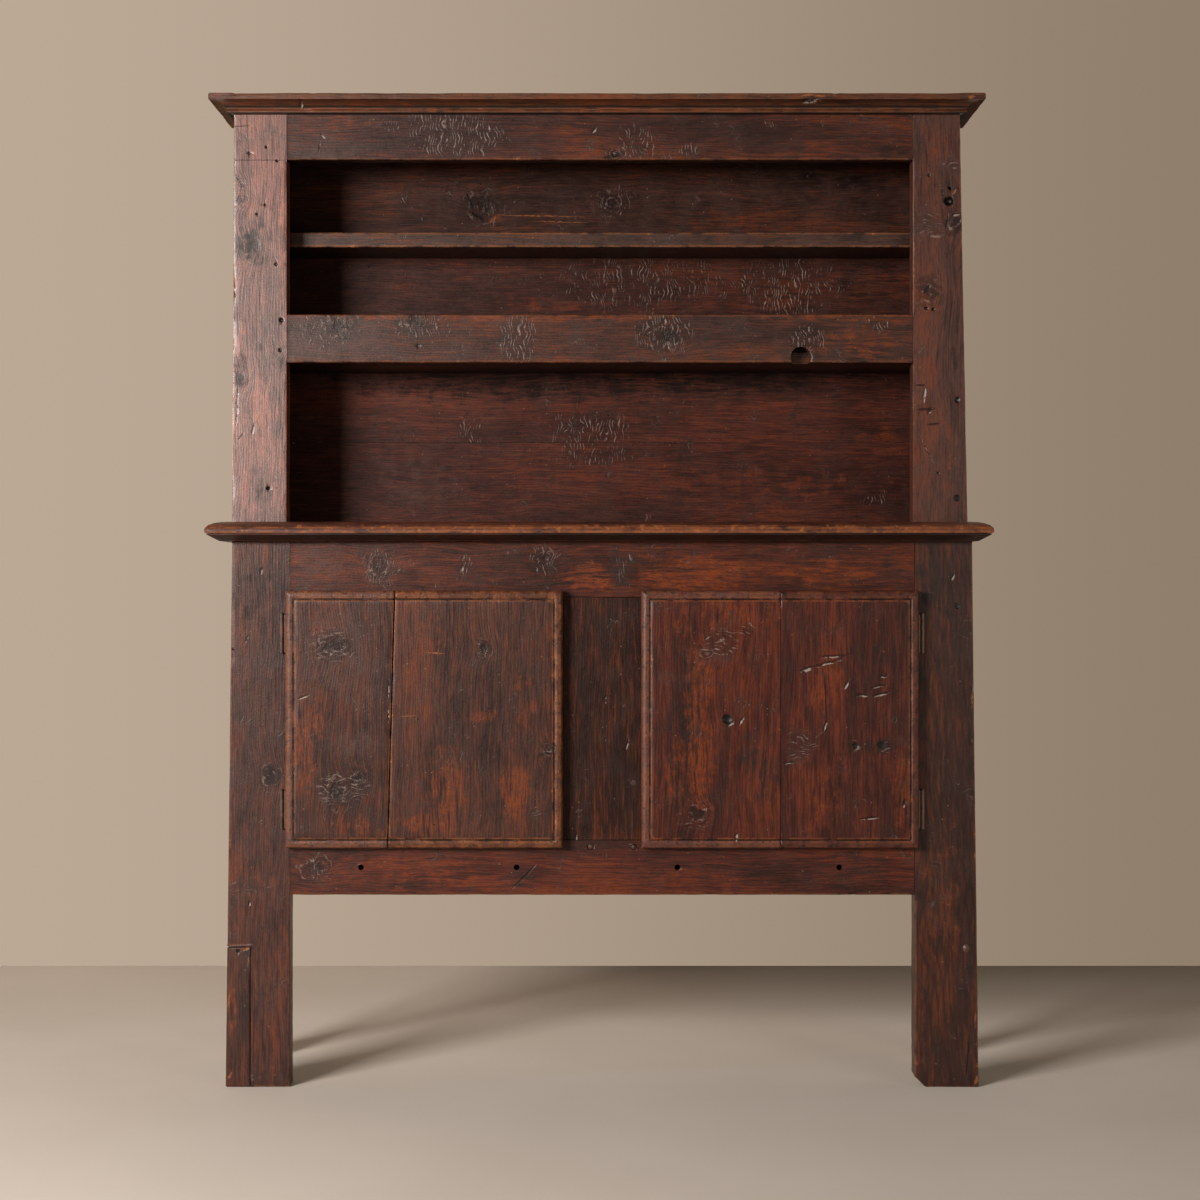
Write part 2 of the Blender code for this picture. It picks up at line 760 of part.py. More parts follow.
def counter_shape(size):
    """The counter board round its middle, with a long rounded slope on its front and ends.

    The slope is a quarter ellipse from the nose up. It is planed all round a longer board,
    and the spare length at the back is sawn off."""
    shape = bmesh.new()
    bmesh.ops.create_cube(shape, size=1.0)
    spare = 2 * COUNTER_SLOPE_RUN
    bmesh.ops.scale(shape, vec=(size.x, size.y + spare, COUNTER_NOSE_RISE), verts=shape.verts)
    lift = Vector((0.0, spare / 2, (COUNTER_NOSE_RISE - size.z) / 2))
    bmesh.ops.translate(shape, vec=lift, verts=shape.verts)
    top = max(shape.faces, key=lambda face: face.calc_center_median().z)
    rise = size.z - COUNTER_NOSE_RISE
    for step in range(COUNTER_SLOPE_STEPS):
        before, after = (
            math.pi / 2 * number / COUNTER_SLOPE_STEPS for number in (step, step + 1)
        )
        bmesh.ops.inset_region(
            shape,
            faces=[top],
            thickness=COUNTER_SLOPE_RUN * (math.cos(before) - math.cos(after)),
            depth=rise * (math.sin(after) - math.sin(before)),
            use_even_offset=True,
        )
    keep_one_side(shape, (0.0, size.y / 2, 0.0), (0.0, 1.0, 0.0))
    round_edges(shape, outer_edges(shape, -size.z / 2), COUNTER_LOW_BEVEL, 1)
    return shape


def build_counter():
    """The counter board, carried by the base and a moulding below it."""
    low = (COUNTER_SHIFT - COUNTER_HALF, FRONT_Y, COUNTER_LOW)
    high = (COUNTER_SHIFT + COUNTER_HALF, BACK_Y, COUNTER_TOP)
    middle, size = middle_and_size(low, high)
    mesh = bpy.data.meshes.new("counter_board")
    shape = counter_shape(size)
    shape.to_mesh(mesh)
    shape.free()
    counter_wood = wood_finish("counter_board", COUNTER_BROWN)
    add_object("counter_board", mesh, middle, None, counter_wood)
    frame_faces = {
        "front": BASE_FRONT_Y,
        "left": base_outer_x(-1, BASE_TOP - UNDER_MOULDING_HEIGHT),
        "right": base_outer_x(1, BASE_TOP - UNDER_MOULDING_HEIGHT),
    }
    mitred_surround(
        "counter",
        "_moulding",
        under_moulding_profile,
        (low[0], high[0]),
        FRONT_Y,
        frame_faces,
        wood_finish("counter_moulding", COUNTER_MOULDING_BROWN),
    )


def under_moulding_profile(back):
    """The bevelled moulding below the counter, as (inset from the nose, height) points."""
    top = BASE_TOP - CLEARANCE
    foot = top - UNDER_MOULDING_HEIGHT
    return [
        (back, top),
        (UNDER_MOULDING_TOP_INSET, top),
        (UNDER_MOULDING_TOP_INSET, top - ARRIS),
        (UNDER_MOULDING_FOOT_INSET, foot),
        (back, foot),
    ]


def moulding_run(name, profile, corner, direction, outward, length, mitred_end, material):
    """A moulding from a mitred outer corner. Its profile is in (inset from the edge, height) points."""
    mesh = bpy.data.meshes.new(name)
    shape = bmesh.new()
    corner = Vector(corner)
    direction = Vector(direction)
    outward = Vector(outward)
    loops = []
    for distance, mitre in ((0.0, 1), (length, -1 if mitred_end else 0)):
        end = []
        for inset, height in profile:
            place = corner + direction * (distance + mitre * inset) - outward * inset
            place.z = height
            end.append(shape.verts.new(place))
        shape.faces.new(end)
        loops += [shape.edges.get(pair) for pair in zip(end, end[1:] + end[:1])]
    bmesh.ops.bridge_loops(shape, edges=loops)
    bmesh.ops.recalc_face_normals(shape, faces=shape.faces)
    shape.to_mesh(mesh)
    shape.free()
    return add_object(name, mesh, (0.0, 0.0, 0.0), None, material)


def mitred_surround(prefix, suffix, profile_of, ends, front, faces, material):
    """A moulding that runs along the front and returns along both sides, mitred at the corners.

    The faces are the planes of the frame that its back lies against."""
    low_x, high_x = ends
    moulding_run(
        prefix + "_front" + suffix,
        profile_of(faces["front"] - CLEARANCE - front),
        (low_x + CLEARANCE, front, 0.0),
        (1, 0, 0),
        (0, -1, 0),
        high_x - low_x - 2 * CLEARANCE,
        True,
        material,
    )
    for name, side in SIDES:
        edge = high_x if side > 0 else low_x
        moulding_run(
            prefix + "_" + name + suffix,
            profile_of(abs(edge - faces[name]) - CLEARANCE),
            (edge, front, 0.0),
            (0, 1, 0),
            (side, 0, 0),
            BACK_Y - front,
            False,
            material,
        )


def rack_outer_x(name, side, height):
    """The outer edge of a rack stile, which narrows towards the top."""
    taper = RACK_STILE_TAPERS[name] * (height - RACK_LOW) / RACK_HEIGHT
    return RACK_SHIFT + side * (RACK_HALF_OPENING + RACK_STILE_WIDTH - taper)


def build_rack_frame():
    """The face frame of the rack: two stiles, the top rail and the plate rail."""
    stiles = []
    for name, side in SIDES:
        inner = RACK_SHIFT + side * RACK_HALF_OPENING
        points = [
            (inner, RACK_LOW),
            (rack_outer_x(name, side, RACK_LOW), RACK_LOW),
            (rack_outer_x(name, side, RACK_TOP), RACK_TOP),
            (inner, RACK_TOP),
        ]
        stiles.append(
            upright_outline(
                "rack_stile_" + name,
                points,
                RACK_FRONT_Y,
                RACK_FRONT_Y + RACK_STILE_THICKNESS,
                wood_finish("rack_stile_" + name, RACK_STILE_ROSE),
            )
        )
    left = RACK_SHIFT - RACK_HALF_OPENING + CLEARANCE
    right = RACK_SHIFT + RACK_HALF_OPENING - CLEARANCE
    back = RACK_FRONT_Y + RACK_RAIL_THICKNESS
    tenoned_rail(
        "rack_top_rail",
        (left, RACK_FRONT_Y, RACK_TOP - RACK_TOP_RAIL_HEIGHT),
        (right, back, RACK_TOP),
        0,
        wood_finish("rack_top_rail", RACK_RAIL_BROWN),
        stiles,
    )
    plate_rail = tenoned_rail(
        "rack_plate_rail",
        (left, RACK_FRONT_Y, PLATE_RAIL_LOW),
        (right, back, PLATE_RAIL_LOW + PLATE_RAIL_HEIGHT),
        0,
        wood_finish("rack_plate_rail", RACK_RAIL_BROWN),
        stiles,
    )
    notch_centre = (
        RACK_SHIFT + RACK_HALF_OPENING - KNOT_NOTCH_INSET,
        RACK_FRONT_Y + RACK_RAIL_THICKNESS / 2,
        PLATE_RAIL_LOW + KNOT_NOTCH_RISE,
    )
    cut(
        plate_rail,
        hidden_cylinder(
            "knot_notch", notch_centre, KNOT_NOTCH_RADIUS, 2 * RACK_RAIL_THICKNESS, "Y"
        ),
    )


def build_rack_inside():
    """Side boards, two shelves housed in them, the top board and the back boards."""
    sides = {}
    front = RACK_FRONT_Y + RACK_STILE_THICKNESS + CLEARANCE
    for name, side in SIDES:
        edges = sorted((side * RACK_SIDE_IN, side * RACK_SIDE_OUT))
        sides[name] = board(
            "rack_side_" + name,
            (edges[0], front, RACK_LOW),
            (edges[1], CARCASE_BACK_Y, RACK_TOP),
            wood_finish("rack_side_" + name, SIDE_BROWN),
            arris=SMALL_ARRIS,
        )
    ends = both_sides(0.0, RACK_SIDE_IN + DADO_DEPTH - CLEARANCE)
    low = PLATE_RAIL_LOW
    high = low + LOWER_SHELF_THICKNESS
    rail_back = RACK_FRONT_Y + RACK_RAIL_THICKNESS + CLEARANCE
    stile_notch = (both_sides(RACK_SHIFT, RACK_HALF_OPENING - CLEARANCE), front)
    flat_outline(
        "rack_lower_shelf",
        notched_shelf(ends, rail_back, CARCASE_BACK_Y, stile_notch),
        low,
        high,
        wood_finish("rack_lower_shelf", RACK_SHELF_BROWN),
        SMALL_ARRIS,
    )
    house(sides, ends, front, CARCASE_BACK_Y, low, high, "lower_shelf")
    low = UPPER_SHELF_LOW
    high = low + UPPER_SHELF_THICKNESS
    shelf_front = RACK_FRONT_Y + UPPER_SHELF_SETBACK
    board(
        "rack_upper_shelf",
        (ends[0], shelf_front, low),
        (ends[1], CARCASE_BACK_Y, high),
        wood_finish("rack_upper_shelf", RACK_SHELF_BROWN),
    )
    house(sides, ends, shelf_front, CARCASE_BACK_Y, low, high, "upper_shelf")
    board(
        "rack_top_board",
        (-RACK_TOP_HALF, RACK_FRONT_Y, RACK_TOP + CLEARANCE),
        (RACK_TOP_HALF, BACK_Y, RACK_TOP + CLEARANCE + RACK_TOP_THICKNESS),
        wood_finish("rack_top_board", DUSTY_BROWN, UNPOLISHED),
    )
    level = RACK_LOW
    heights = [*RACK_BACK_BOARD_HEIGHTS, None]
    for number, height in enumerate(heights, 1):
        name = f"rack_back_board_{number}"
        top = RACK_TOP if height is None else level + height
        board(
            name,
            (-RACK_SIDE_OUT, BACK_BOARD_Y, level),
            (RACK_SIDE_OUT, BACK_Y, top),
            wood_finish(name, RACK_BACK_RED),
            arris=SMALL_ARRIS,
        )
        level = top + CLEARANCE


def cornice_profile(back):
    """Fillet, cove and bead of the cornice, as (inset from the tip, height) points."""
    top = CORNICE_LOW + CORNICE_HEIGHT
    fillet = top - CORNICE_FILLET
    cove_low = CORNICE_LOW + 2 * CORNICE_BEAD_RADIUS
    neck = back - CORNICE_NECK
    points = [(back, top), (ARRIS, top), (0.0, top - ARRIS), (0.0, fillet)]
    run = neck - SMALL_ARRIS
    drop = fillet - SMALL_ARRIS - cove_low
    for step in range(CORNICE_COVE_STEPS + 1):
        angle = math.pi / 2 * step / CORNICE_COVE_STEPS
        points.append((SMALL_ARRIS + run * math.sin(angle), cove_low + drop * math.cos(angle)))
    for step in range(1, CORNICE_COVE_STEPS):
        angle = math.pi * step / CORNICE_COVE_STEPS
        inset = neck + CORNICE_BEAD_RADIUS * (1 - math.sin(angle))
        points.append((inset, cove_low - CORNICE_BEAD_RADIUS * (1 - math.cos(angle))))
    points.append((back, CORNICE_LOW))
    return points


def build_cornice():
    faces = {"front": RACK_FRONT_Y, "left": -RACK_TOP_HALF, "right": RACK_TOP_HALF}
    mitred_surround(
        "cornice",
        "",
        cornice_profile,
        (-CORNICE_HALF, CORNICE_HALF),
        RACK_FRONT_Y - CORNICE_PROJECTION,
        faces,
        wood_finish("cornice", CORNICE_BROWN),
    )


def door_blank(width):
    """The whole door: rounded front edges and a quirk planed round the field."""
    shape = bmesh.new()
    bmesh.ops.create_cube(shape, size=1.0)
    bmesh.ops.scale(shape, vec=(width, DOOR_THICKNESS, DOOR_HEIGHT), verts=shape.verts)
    front = -DOOR_THICKNESS / 2
    edges = [
        edge
        for edge in shape.edges
        if all(abs(point.co.y - front) < WELD for point in edge.verts)
    ]
    round_edges(shape, edges, DOOR_EDGE_ROUND, DOOR_EDGE_STEPS)
    field = min(shape.faces, key=lambda face: face.calc_center_median().y)
    steps = (
        (DOOR_QUIRK_MARGIN, 0.0),
        (DOOR_QUIRK_WIDTH, -DOOR_QUIRK_DEPTH),
        (DOOR_QUIRK_WIDTH, DOOR_QUIRK_DEPTH),
    )
    for width_in, lift in steps:
        bmesh.ops.inset_region(
            shape, faces=[field], thickness=width_in, depth=lift, use_even_offset=True
        )
    return shape


def keep_one_side(shape, point, normal):
    """Saws a shape along a plane and keeps the side that the normal points away from."""
    result = bmesh.ops.bisect_plane(
        shape,
        geom=shape.verts[:] + shape.edges[:] + shape.faces[:],
        plane_co=point,
        plane_no=normal,
        clear_outer=True,
    )
    cut_edges = [part for part in result["geom_cut"] if isinstance(part, bmesh.types.BMEdge)]
    bmesh.ops.edgeloop_fill(shape, edges=cut_edges)
    bmesh.ops.recalc_face_normals(shape, faces=shape.faces)


def build_door(name, side, axis, seam, colour):
    """Two upright boards and the two battens that hold them together."""
    inner = BASE_SHIFT + side * DOOR_INNER
    outer = BASE_SHIFT + side * DOOR_OUTER
    left = min(inner, outer)
    middle = Vector(
        ((inner + outer) / 2, DOOR_BACK_Y - DOOR_THICKNESS / 2, DOOR_LOW + DOOR_HEIGHT / 2)
    )
    low_point = Vector((left + seam["low"], 0.0, DOOR_LOW))
    high_point = Vector((left + seam["high"], 0.0, DOOR_LOW + DOOR_HEIGHT))
    run = (high_point - low_point).normalized()
    normal = Vector((run.z, 0.0, -run.x))
    for board_name, sign in (("left", 1), ("right", -1)):
        shape = door_blank(DOOR_WIDTH)
        point = low_point - sign * normal * seam["gap"] / 2
        keep_one_side(shape, point - middle, sign * normal)
        mesh = bpy.data.meshes.new(f"{name}_{board_name}_board")
        shape.to_mesh(mesh)
        shape.free()
        add_object(
            mesh.name, mesh, middle, axis, wood_finish(mesh.name, colour)
        )
    batten_half = DOOR_WIDTH / 2 - BATTEN_SETBACK
    batten_back = DOOR_BACK_Y + CLEARANCE + BATTEN_THICKNESS
    levels = {
        "lower": DOOR_LOW + BATTEN_EDGE,
        "upper": DOOR_LOW + DOOR_HEIGHT - BATTEN_EDGE - BATTEN_WIDTH,
    }
    for level_name, level in levels.items():
        board(
            f"{name}_{level_name}_batten",
            (middle.x - batten_half, DOOR_BACK_Y + CLEARANCE, level),
            (middle.x + batten_half, batten_back, level + BATTEN_WIDTH),
            wood_finish(f"{name}_{level_name}_batten", INSIDE_BROWN, UNPOLISHED),
            axis,
        )


def hidden_ring(name, centre, low, high):
    """A helper knuckle: a short tube round the hinge axis."""
    profile = [
        (HINGE_BORE_RADIUS, high),
        (HINGE_KNUCKLE_RADIUS, high),
        (HINGE_KNUCKLE_RADIUS, low),
        (HINGE_BORE_RADIUS, low),
    ]
    mesh = bpy.data.meshes.new(name)
    shape = bmesh.new()
    points = [shape.verts.new((radius, 0.0, height)) for radius, height in profile]
    edges = [shape.edges.new(pair) for pair in zip(points, points[1:] + points[:1])]
    bmesh.ops.spin(
        shape,
        geom=points + edges,
        cent=(0.0, 0.0, 0.0),
        axis=(0.0, 0.0, 1.0),
        angle=2 * math.pi,
        steps=HINGE_SIDES,
        use_merge=True,
    )
    bmesh.ops.remove_doubles(shape, verts=shape.verts, dist=WELD)
    half_step = Matrix.Rotation(math.pi / HINGE_SIDES, 4, "Z")
    bmesh.ops.transform(shape, matrix=half_step, verts=shape.verts)
    bmesh.ops.recalc_face_normals(shape, faces=shape.faces)
    shape.to_mesh(mesh)
    shape.free()
    return hidden_helper(name, mesh, centre)


def hinge_leaf(name, inward, centre, low_y, width, knuckles, reach, material, axis):
    """A leaf: a plate with its knuckles. It reaches the pin line only where it carries one."""
    plate_half = HINGE_LENGTH / 2 - HINGE_PLATE_INSET
    relieved = inward * HINGE_LEAF_RELIEF
    points = [
        (relieved, -plate_half),
        (inward * width, -plate_half),
        (inward * width, plate_half),
        (relieved, plate_half),
    ]
    for low, high in sorted(knuckles, reverse=True):
        tab_low = low + HINGE_PLATE_INSET
        tab_high = high - HINGE_PLATE_INSET
        points += [
            (relieved, tab_high),
            (inward * reach, tab_high),
            (inward * reach, tab_low),
            (relieved, tab_low),
        ]
    mesh = outline_mesh(name, corners_only(points), HINGE_LEAF_THICKNESS, upright=True)
    place = (centre.x, low_y + HINGE_LEAF_THICKNESS / 2, centre.z)
    leaf = add_object(name, mesh, place, axis, material)
    for number, (low, high) in enumerate(knuckles, 1):
        join(leaf, hidden_ring(f"{name}_knuckle_{number}", centre, low, high))
    return leaf


def build_hinge(name, side, axis, level):
    """A butt hinge with three knuckles between the stile and the back of the door."""
    inward = -side
    iron = iron_finish(name)
    centre = Vector((axis.location.x, HINGE_AXIS_Y, level))
    half = HINGE_LENGTH / 2
    end = half - HINGE_END_KNUCKLE
    ends = [(-half, -end), (end, half)]
    middle = [(-end + CLEARANCE, end - CLEARANCE)]
    hinge_leaf(
        name + "_frame_leaf",
        inward,
        centre,
        BASE_FRONT_Y - CLEARANCE - HINGE_LEAF_THICKNESS,
        HINGE_FRAME_LEAF_WIDTH,
        ends,
        0.0,
        iron,
        None,
    )
    hinge_leaf(
        name + "_door_leaf",
        inward,
        centre,
        DOOR_BACK_Y + CLEARANCE,
        HINGE_DOOR_LEAF_WIDTH,
        middle,
        (HINGE_BORE_RADIUS + HINGE_KNUCKLE_RADIUS) / 2,
        iron,
        axis,
    )
    head = half + CLEARANCE
    crown = head + HINGE_PIN_HEAD_HEIGHT
    profile = [
        (0.0, crown),
        (HINGE_PIN_CROWN_RADIUS, crown - HINGE_PIN_CROWN_DROP),
        (HINGE_PIN_HEAD_RADIUS, head + HINGE_PIN_HEAD_EDGE),
        (HINGE_PIN_HEAD_RADIUS, head),
        (HINGE_PIN_RADIUS, head),
        (HINGE_PIN_RADIUS, -half),
        (0.0, -half - HINGE_PIN_TIP),
    ]
    turned_piece(name + "_pin", profile, centre, HINGE_SIDES, iron)


def build_doors():
    """Each door hangs on an empty that stands on its hinge axis."""
    seams = {"left": LEFT_DOOR_SEAM, "right": RIGHT_DOOR_SEAM}
    hinge_levels = {
        "lower": DOOR_LOW + HINGE_FOOT_RISE,
        "upper": DOOR_LOW + DOOR_HEIGHT - HINGE_HEAD_DROP,
    }
    for name, side in SIDES:
        axis_x = BASE_SHIFT + side * (DOOR_OUTER + HINGE_OFFSET)
        axis = bpy.data.objects.new(name + "_door_axis", None)
        HUTCH.objects.link(axis)
        axis.location = (axis_x, HINGE_AXIS_Y, DOOR_LOW)
        build_door(name + "_door", side, axis, seams[name], DOOR_COLOURS[name])
        for level, height in hinge_levels.items():
            build_hinge(f"{name}_{level}_hinge", side, axis, height)


base_stiles = build_base_stiles()
base_bottom_rail, base_muntin = build_base_rails(base_stiles)
build_pegs(base_bottom_rail, base_muntin)
build_nail(base_stiles["right"])
side_panels = build_base_sides(base_stiles)
build_cabinet_inside(side_panels)
build_base_back()
build_counter()
build_rack_frame()
build_rack_inside()
build_cornice()
build_doors()
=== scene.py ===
# Looks of the hutch: stained and waxed pine, worn by long use, on forged iron hinges.
import json
from math import atan, pi, radians

import bmesh
import bpy
import numpy as np
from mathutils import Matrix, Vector, noise

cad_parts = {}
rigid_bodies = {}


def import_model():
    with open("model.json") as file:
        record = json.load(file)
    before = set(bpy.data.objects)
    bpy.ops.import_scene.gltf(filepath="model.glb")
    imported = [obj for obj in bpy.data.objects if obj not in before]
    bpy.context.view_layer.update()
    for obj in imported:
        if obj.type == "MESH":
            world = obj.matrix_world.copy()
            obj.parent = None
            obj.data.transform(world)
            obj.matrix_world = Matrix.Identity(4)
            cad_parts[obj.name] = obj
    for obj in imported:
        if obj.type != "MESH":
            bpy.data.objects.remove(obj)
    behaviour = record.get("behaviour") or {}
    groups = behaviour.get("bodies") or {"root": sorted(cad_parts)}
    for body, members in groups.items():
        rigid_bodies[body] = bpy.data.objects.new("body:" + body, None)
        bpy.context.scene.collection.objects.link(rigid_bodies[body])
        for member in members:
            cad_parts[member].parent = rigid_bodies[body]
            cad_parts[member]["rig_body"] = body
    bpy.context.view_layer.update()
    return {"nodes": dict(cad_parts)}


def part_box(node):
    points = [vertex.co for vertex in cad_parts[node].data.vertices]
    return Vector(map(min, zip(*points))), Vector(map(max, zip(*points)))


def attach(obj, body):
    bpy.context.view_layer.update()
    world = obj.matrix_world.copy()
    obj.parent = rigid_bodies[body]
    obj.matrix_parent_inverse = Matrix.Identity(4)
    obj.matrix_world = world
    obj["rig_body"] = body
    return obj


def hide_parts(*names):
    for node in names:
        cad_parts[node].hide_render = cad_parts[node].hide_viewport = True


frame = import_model()

# Sizes of the view, in metres
CAMERA_X = 0.0059
CAMERA_Y = -4.3525
EYE_HEIGHT = 0.951
BASE_FRONT_Y = -0.1525
VIEW_WIDTH = 2.328
VIEW_SHIFT_Y = -0.0025
WALL_Y = 1.23

# The photograph's size and the row that is level with the camera, in pixels
PICTURE_SIZE = 1200
EYE_ROW = 597

# Sizes of the work on the wood, in metres, and angles
MERGE = 0.00002
FLAT_ANGLE = radians(0.6)
SHARP_ANGLE = radians(25)
SMOOTH_ANGLE = radians(42)
ARRIS = 0.0014
CHAMFER = 0.0026
LONG_EDGE = 0.030
FINE_PITCH = 0.009
PLAIN_PITCH = 0.016
GUARD = 0.004
EDGE_REACH = 0.030
# Depths below the cornice's top where lines of painted shade lie, under its cove and its bead
CORNICE_SHADE_DEPTHS = (0.0212, 0.0334)
DOOR_MOULDING = 0.0165
JOINT = 0.0030
FLUSH = 0.0004
WAVE_HEIGHT = 0.0003
RUB_DEPTH = 0.0012
NICK_DEPTH = 0.004
RUB_REACH = 0.0045
PIT_SKIN = 0.003

# Sizes of the grain, in metres. The rings stand round a pith behind the face, which leans a little.
# The ripples of torn grain would be too fine to show, and are drawn 7 mm apart.
RING_WIDTH = 0.005
PITH_DEPTH = 0.07
PITH_LEAN = 0.07
GRAIN_WANDER = 0.035
SWING = 0.010
RIPPLE = 0.0068
FRAY = 0.006
RELIEF_DEPTH = 0.0013

# Patterns of the pine: their coordinates, their features per metre along, through and across the grain,
# their detail and their roughness. The streaks of stain are 6 mm wide and finer, the fibres are drawn 3 mm
# wide, so that they show, and the mottling measures 10 mm.
PATTERNS = {
    "border": ("place", (34, 34, 34), 5.0, 0.62),
    "on_edge": ("place", (34, 34, 34), 5.0, 0.7),
    "mottle": ("place", (90, 90, 90), 5.0, 0.7),
    "cloud": ("turned", (17, 17, 17), 6.0, 0.68),
    "tone": ("turned", (2.5, 12, 12), 4.0, 0.6),
    "sway": ("turned", (30, 12, 26), 1.6, 0.5),
    "broken": ("turned", (110, 90, 60), 3.0, 0.6),
    "streaks": ("wandered", (14, 165, 165), 5.0, 0.66),
    "fibres": ("wandered", (42, 310, 310), 3.0, 0.66),
}
STREAK_LEVELS = (0.40, 0.495, 0.59)

# Other patterns, in features per metre: the slow wander of the grain, scratches, worm holes, flakes, specks
# and the frayed borders of the marks
WANDER_SCALE = (3.5, 12, 12)
SCRATCH_SCALE = 26.0
HOLE_SCALE = 30.0
FLAKE_SCALE = 75.0
SPECK_SCALE = 85.0
FRAY_SCALE = 110.0

# The kinds of patches that a board can have
KINDS = ("chatter", "dark", "warm", "grey")


def linear(colour):
    """An sRGB hex colour as the linear values that the shaders take."""
    parts = [int(colour[i:i + 2], 16) / 255 for i in (1, 3, 5)]
    return [p / 12.92 if p <= 0.04045 else ((p + 0.055) / 1.055) ** 2.4 for p in parts] + [1.0]


def shade(colour, other, share):
    """A hex colour moved towards another."""
    mixed = [
        round(int(colour[i:i + 2], 16) * (1 - share) + int(other[i:i + 2], 16) * share) for i in (1, 3, 5)
    ]
    return "#" + "".join(f"{part:02x}" for part in mixed)


def add(tree, kind, inputs=(), output=0, **settings):
    """Adds a node with its settings, sets or links its inputs, and gives one of its outputs."""
    node = tree.nodes.new("ShaderNode" + kind)
    for key, value in settings.items():
        setattr(node, key, value)
    pairs = inputs if isinstance(inputs, dict) else dict(enumerate(inputs))
    for key, value in pairs.items():
        if isinstance(value, bpy.types.NodeSocket):
            tree.links.new(value, node.inputs[key])
        else:
            node.inputs[key].default_value = linear(value) if isinstance(value, str) else value
    return node.outputs[output]


def new_material(name):
    """A material with an empty tree and its output."""
    material = bpy.data.materials.new(name)
    material.use_nodes = True
    tree = material.node_tree
    tree.nodes.clear()
    output = tree.nodes.new("ShaderNodeOutputMaterial")
    return material, tree, output


def set_stops(colour, places, colours):
    """Sets hex colours along the colour ramp that gives a colour."""
    band = colour.node.color_ramp
    while len(band.elements) < len(places):
        band.elements.new(0.5)
    for element, place, stop in zip(band.elements, places, colours):
        element.position = place
        element.color = linear(stop)


def mask(tree, *parts):
    """The product of some parts. A part is a number, a value, or a smooth step of a value, which is
    written (value, low, high) and, where it doesn't go from 0 to 1, the two levels that it goes between."""
    product = None
    for part in parts:
        if isinstance(part, tuple):
            part = add(tree, "MapRange", part, interpolation_type="SMOOTHSTEP")
        product = part if product is None else add(tree, "Math", (product, part), operation="MULTIPLY")
    return product


def blend(tree, below, above, *parts):
    """Lays one colour over another, as strongly as the mask of some parts."""
    inputs = {0: mask(tree, *parts), 6: below, 7: above}
    return add(tree, "Mix", inputs, output=2, data_type="RGBA")


def weighted(tree, total, *parts):
    """A total with some values added to it, each times its weight."""
    for value, weight in parts:
        total = add(tree, "Math", (value, weight, total), operation="MULTIPLY_ADD")
    return total


def away_from(tree, value, middle):
    """How far a value lies from a middle, to either side."""
    gap = add(tree, "Math", (value, middle), operation="SUBTRACT")
    return add(tree, "Math", [gap], operation="ABSOLUTE")


# The grain runs along the first axis of the turned coordinates, across the third, through the second.
GRAIN_TURN = {"x": (0, 0, 0), "z": (0, pi / 2, 0), "y": (0, 0, -pi / 2)}
SEED_STEP = Vector((1.37, 0.113, 0.291))

# Colours of the stain, the wax and the wood under them; some also paint light and shade, as said at each
# Black grime, which also paints shade on the undersides and in the dents of the scores
GRIME_AND_SHADE = "#180b07"
# Grey bloom of old wax, partly a painted sheen: pieces on the left, where the key light shines, have more of
# it, tinted to the sheen's mauve grey
WAX_BLOOM_AND_SHEEN = "#57403a"
RUBBED_STAIN = "#873e18"
BARE_WOOD = "#ab6a3c"
# Pale grey of torn grain and scratches, also a painted highlight: the glints on torn grain and on the curls
# round the knots
TORN_GRAIN_AND_GLINT = "#a38d84"
# Painted highlight on the lower lip of each dent and score
SCORE_LIP_HIGHLIGHT = "#a3948a"
# Dark dirt in seams, also painted shade along the door quirks and under the cornice's cove and bead
SEAM_DIRT_AND_SHADE = "#0a0503"
WORM_HOLE = "#070403"
OPEN_CRACK = "#060302"

# Colours of the room round the hutch: the dim light it gives, and what the eye sees of it
ROOM_LIGHT = "#36332f"
ROOM_BACKDROP = "#7b7369"
FLOOR_TONES = ("#ddd2c6", "#e6dcd1")
# Painted shade of the far floor, where the key lamp's pool of light is
FLOOR_FAR_SHADE = "#8b847b"
# Painted light on the wall: its lighter left and darker right tones
WALL_PAINTED_LIGHT = ("#bba996", "#8f7d6b")

# Where the floor's painted shade comes in and where the floor fades, in metres out from the hutch, and where
# the wall's painted light changes
FLOOR_SHADE_SPAN = (1.9, 3.4)
FLOOR_FADES = (2.6, 4.6)
WALL_LIGHT_SPAN = (-1.7, 1.9)
STAGE_SIZE = 9.0

# The lamps: their places and the points that they face in metres, and their power in watts
LAMPS = {
    "key": dict(
        place=(-2.75, -3.45, 1.8), aim=(0.0, -0.1, 1.0), width=1.5, height=1.0, power=218, colour="#fff9f3",
    ),
    "fill": dict(
        place=(2.6, -3.4, 1.3), aim=(0.0, 0.0, 0.8), width=1.2, height=1.4, power=18, colour="#fff3e4",
    ),
    "back": dict(
        place=(0.0, WALL_Y - 0.05, 1.3), aim=(0.0, 0.2, 1.1), width=1.9, height=0.9, power=3.8,
        colour="#fff3e4",
    ),
    "side": dict(
        place=(3.3, 0.45, 0.55), aim=(0.7, 0.0, 1.1), width=1.2, height=1.0, power=7, colour="#fff3e4",
    ),
}

# The front planes that marks lie on, in metres
DOOR_FRONT = -0.1816
RACK_FRONT = -0.0225
RACK_BACK = 0.1845
SHELF_FRONT = 0.0375
NOSE_FRONT = -0.2025

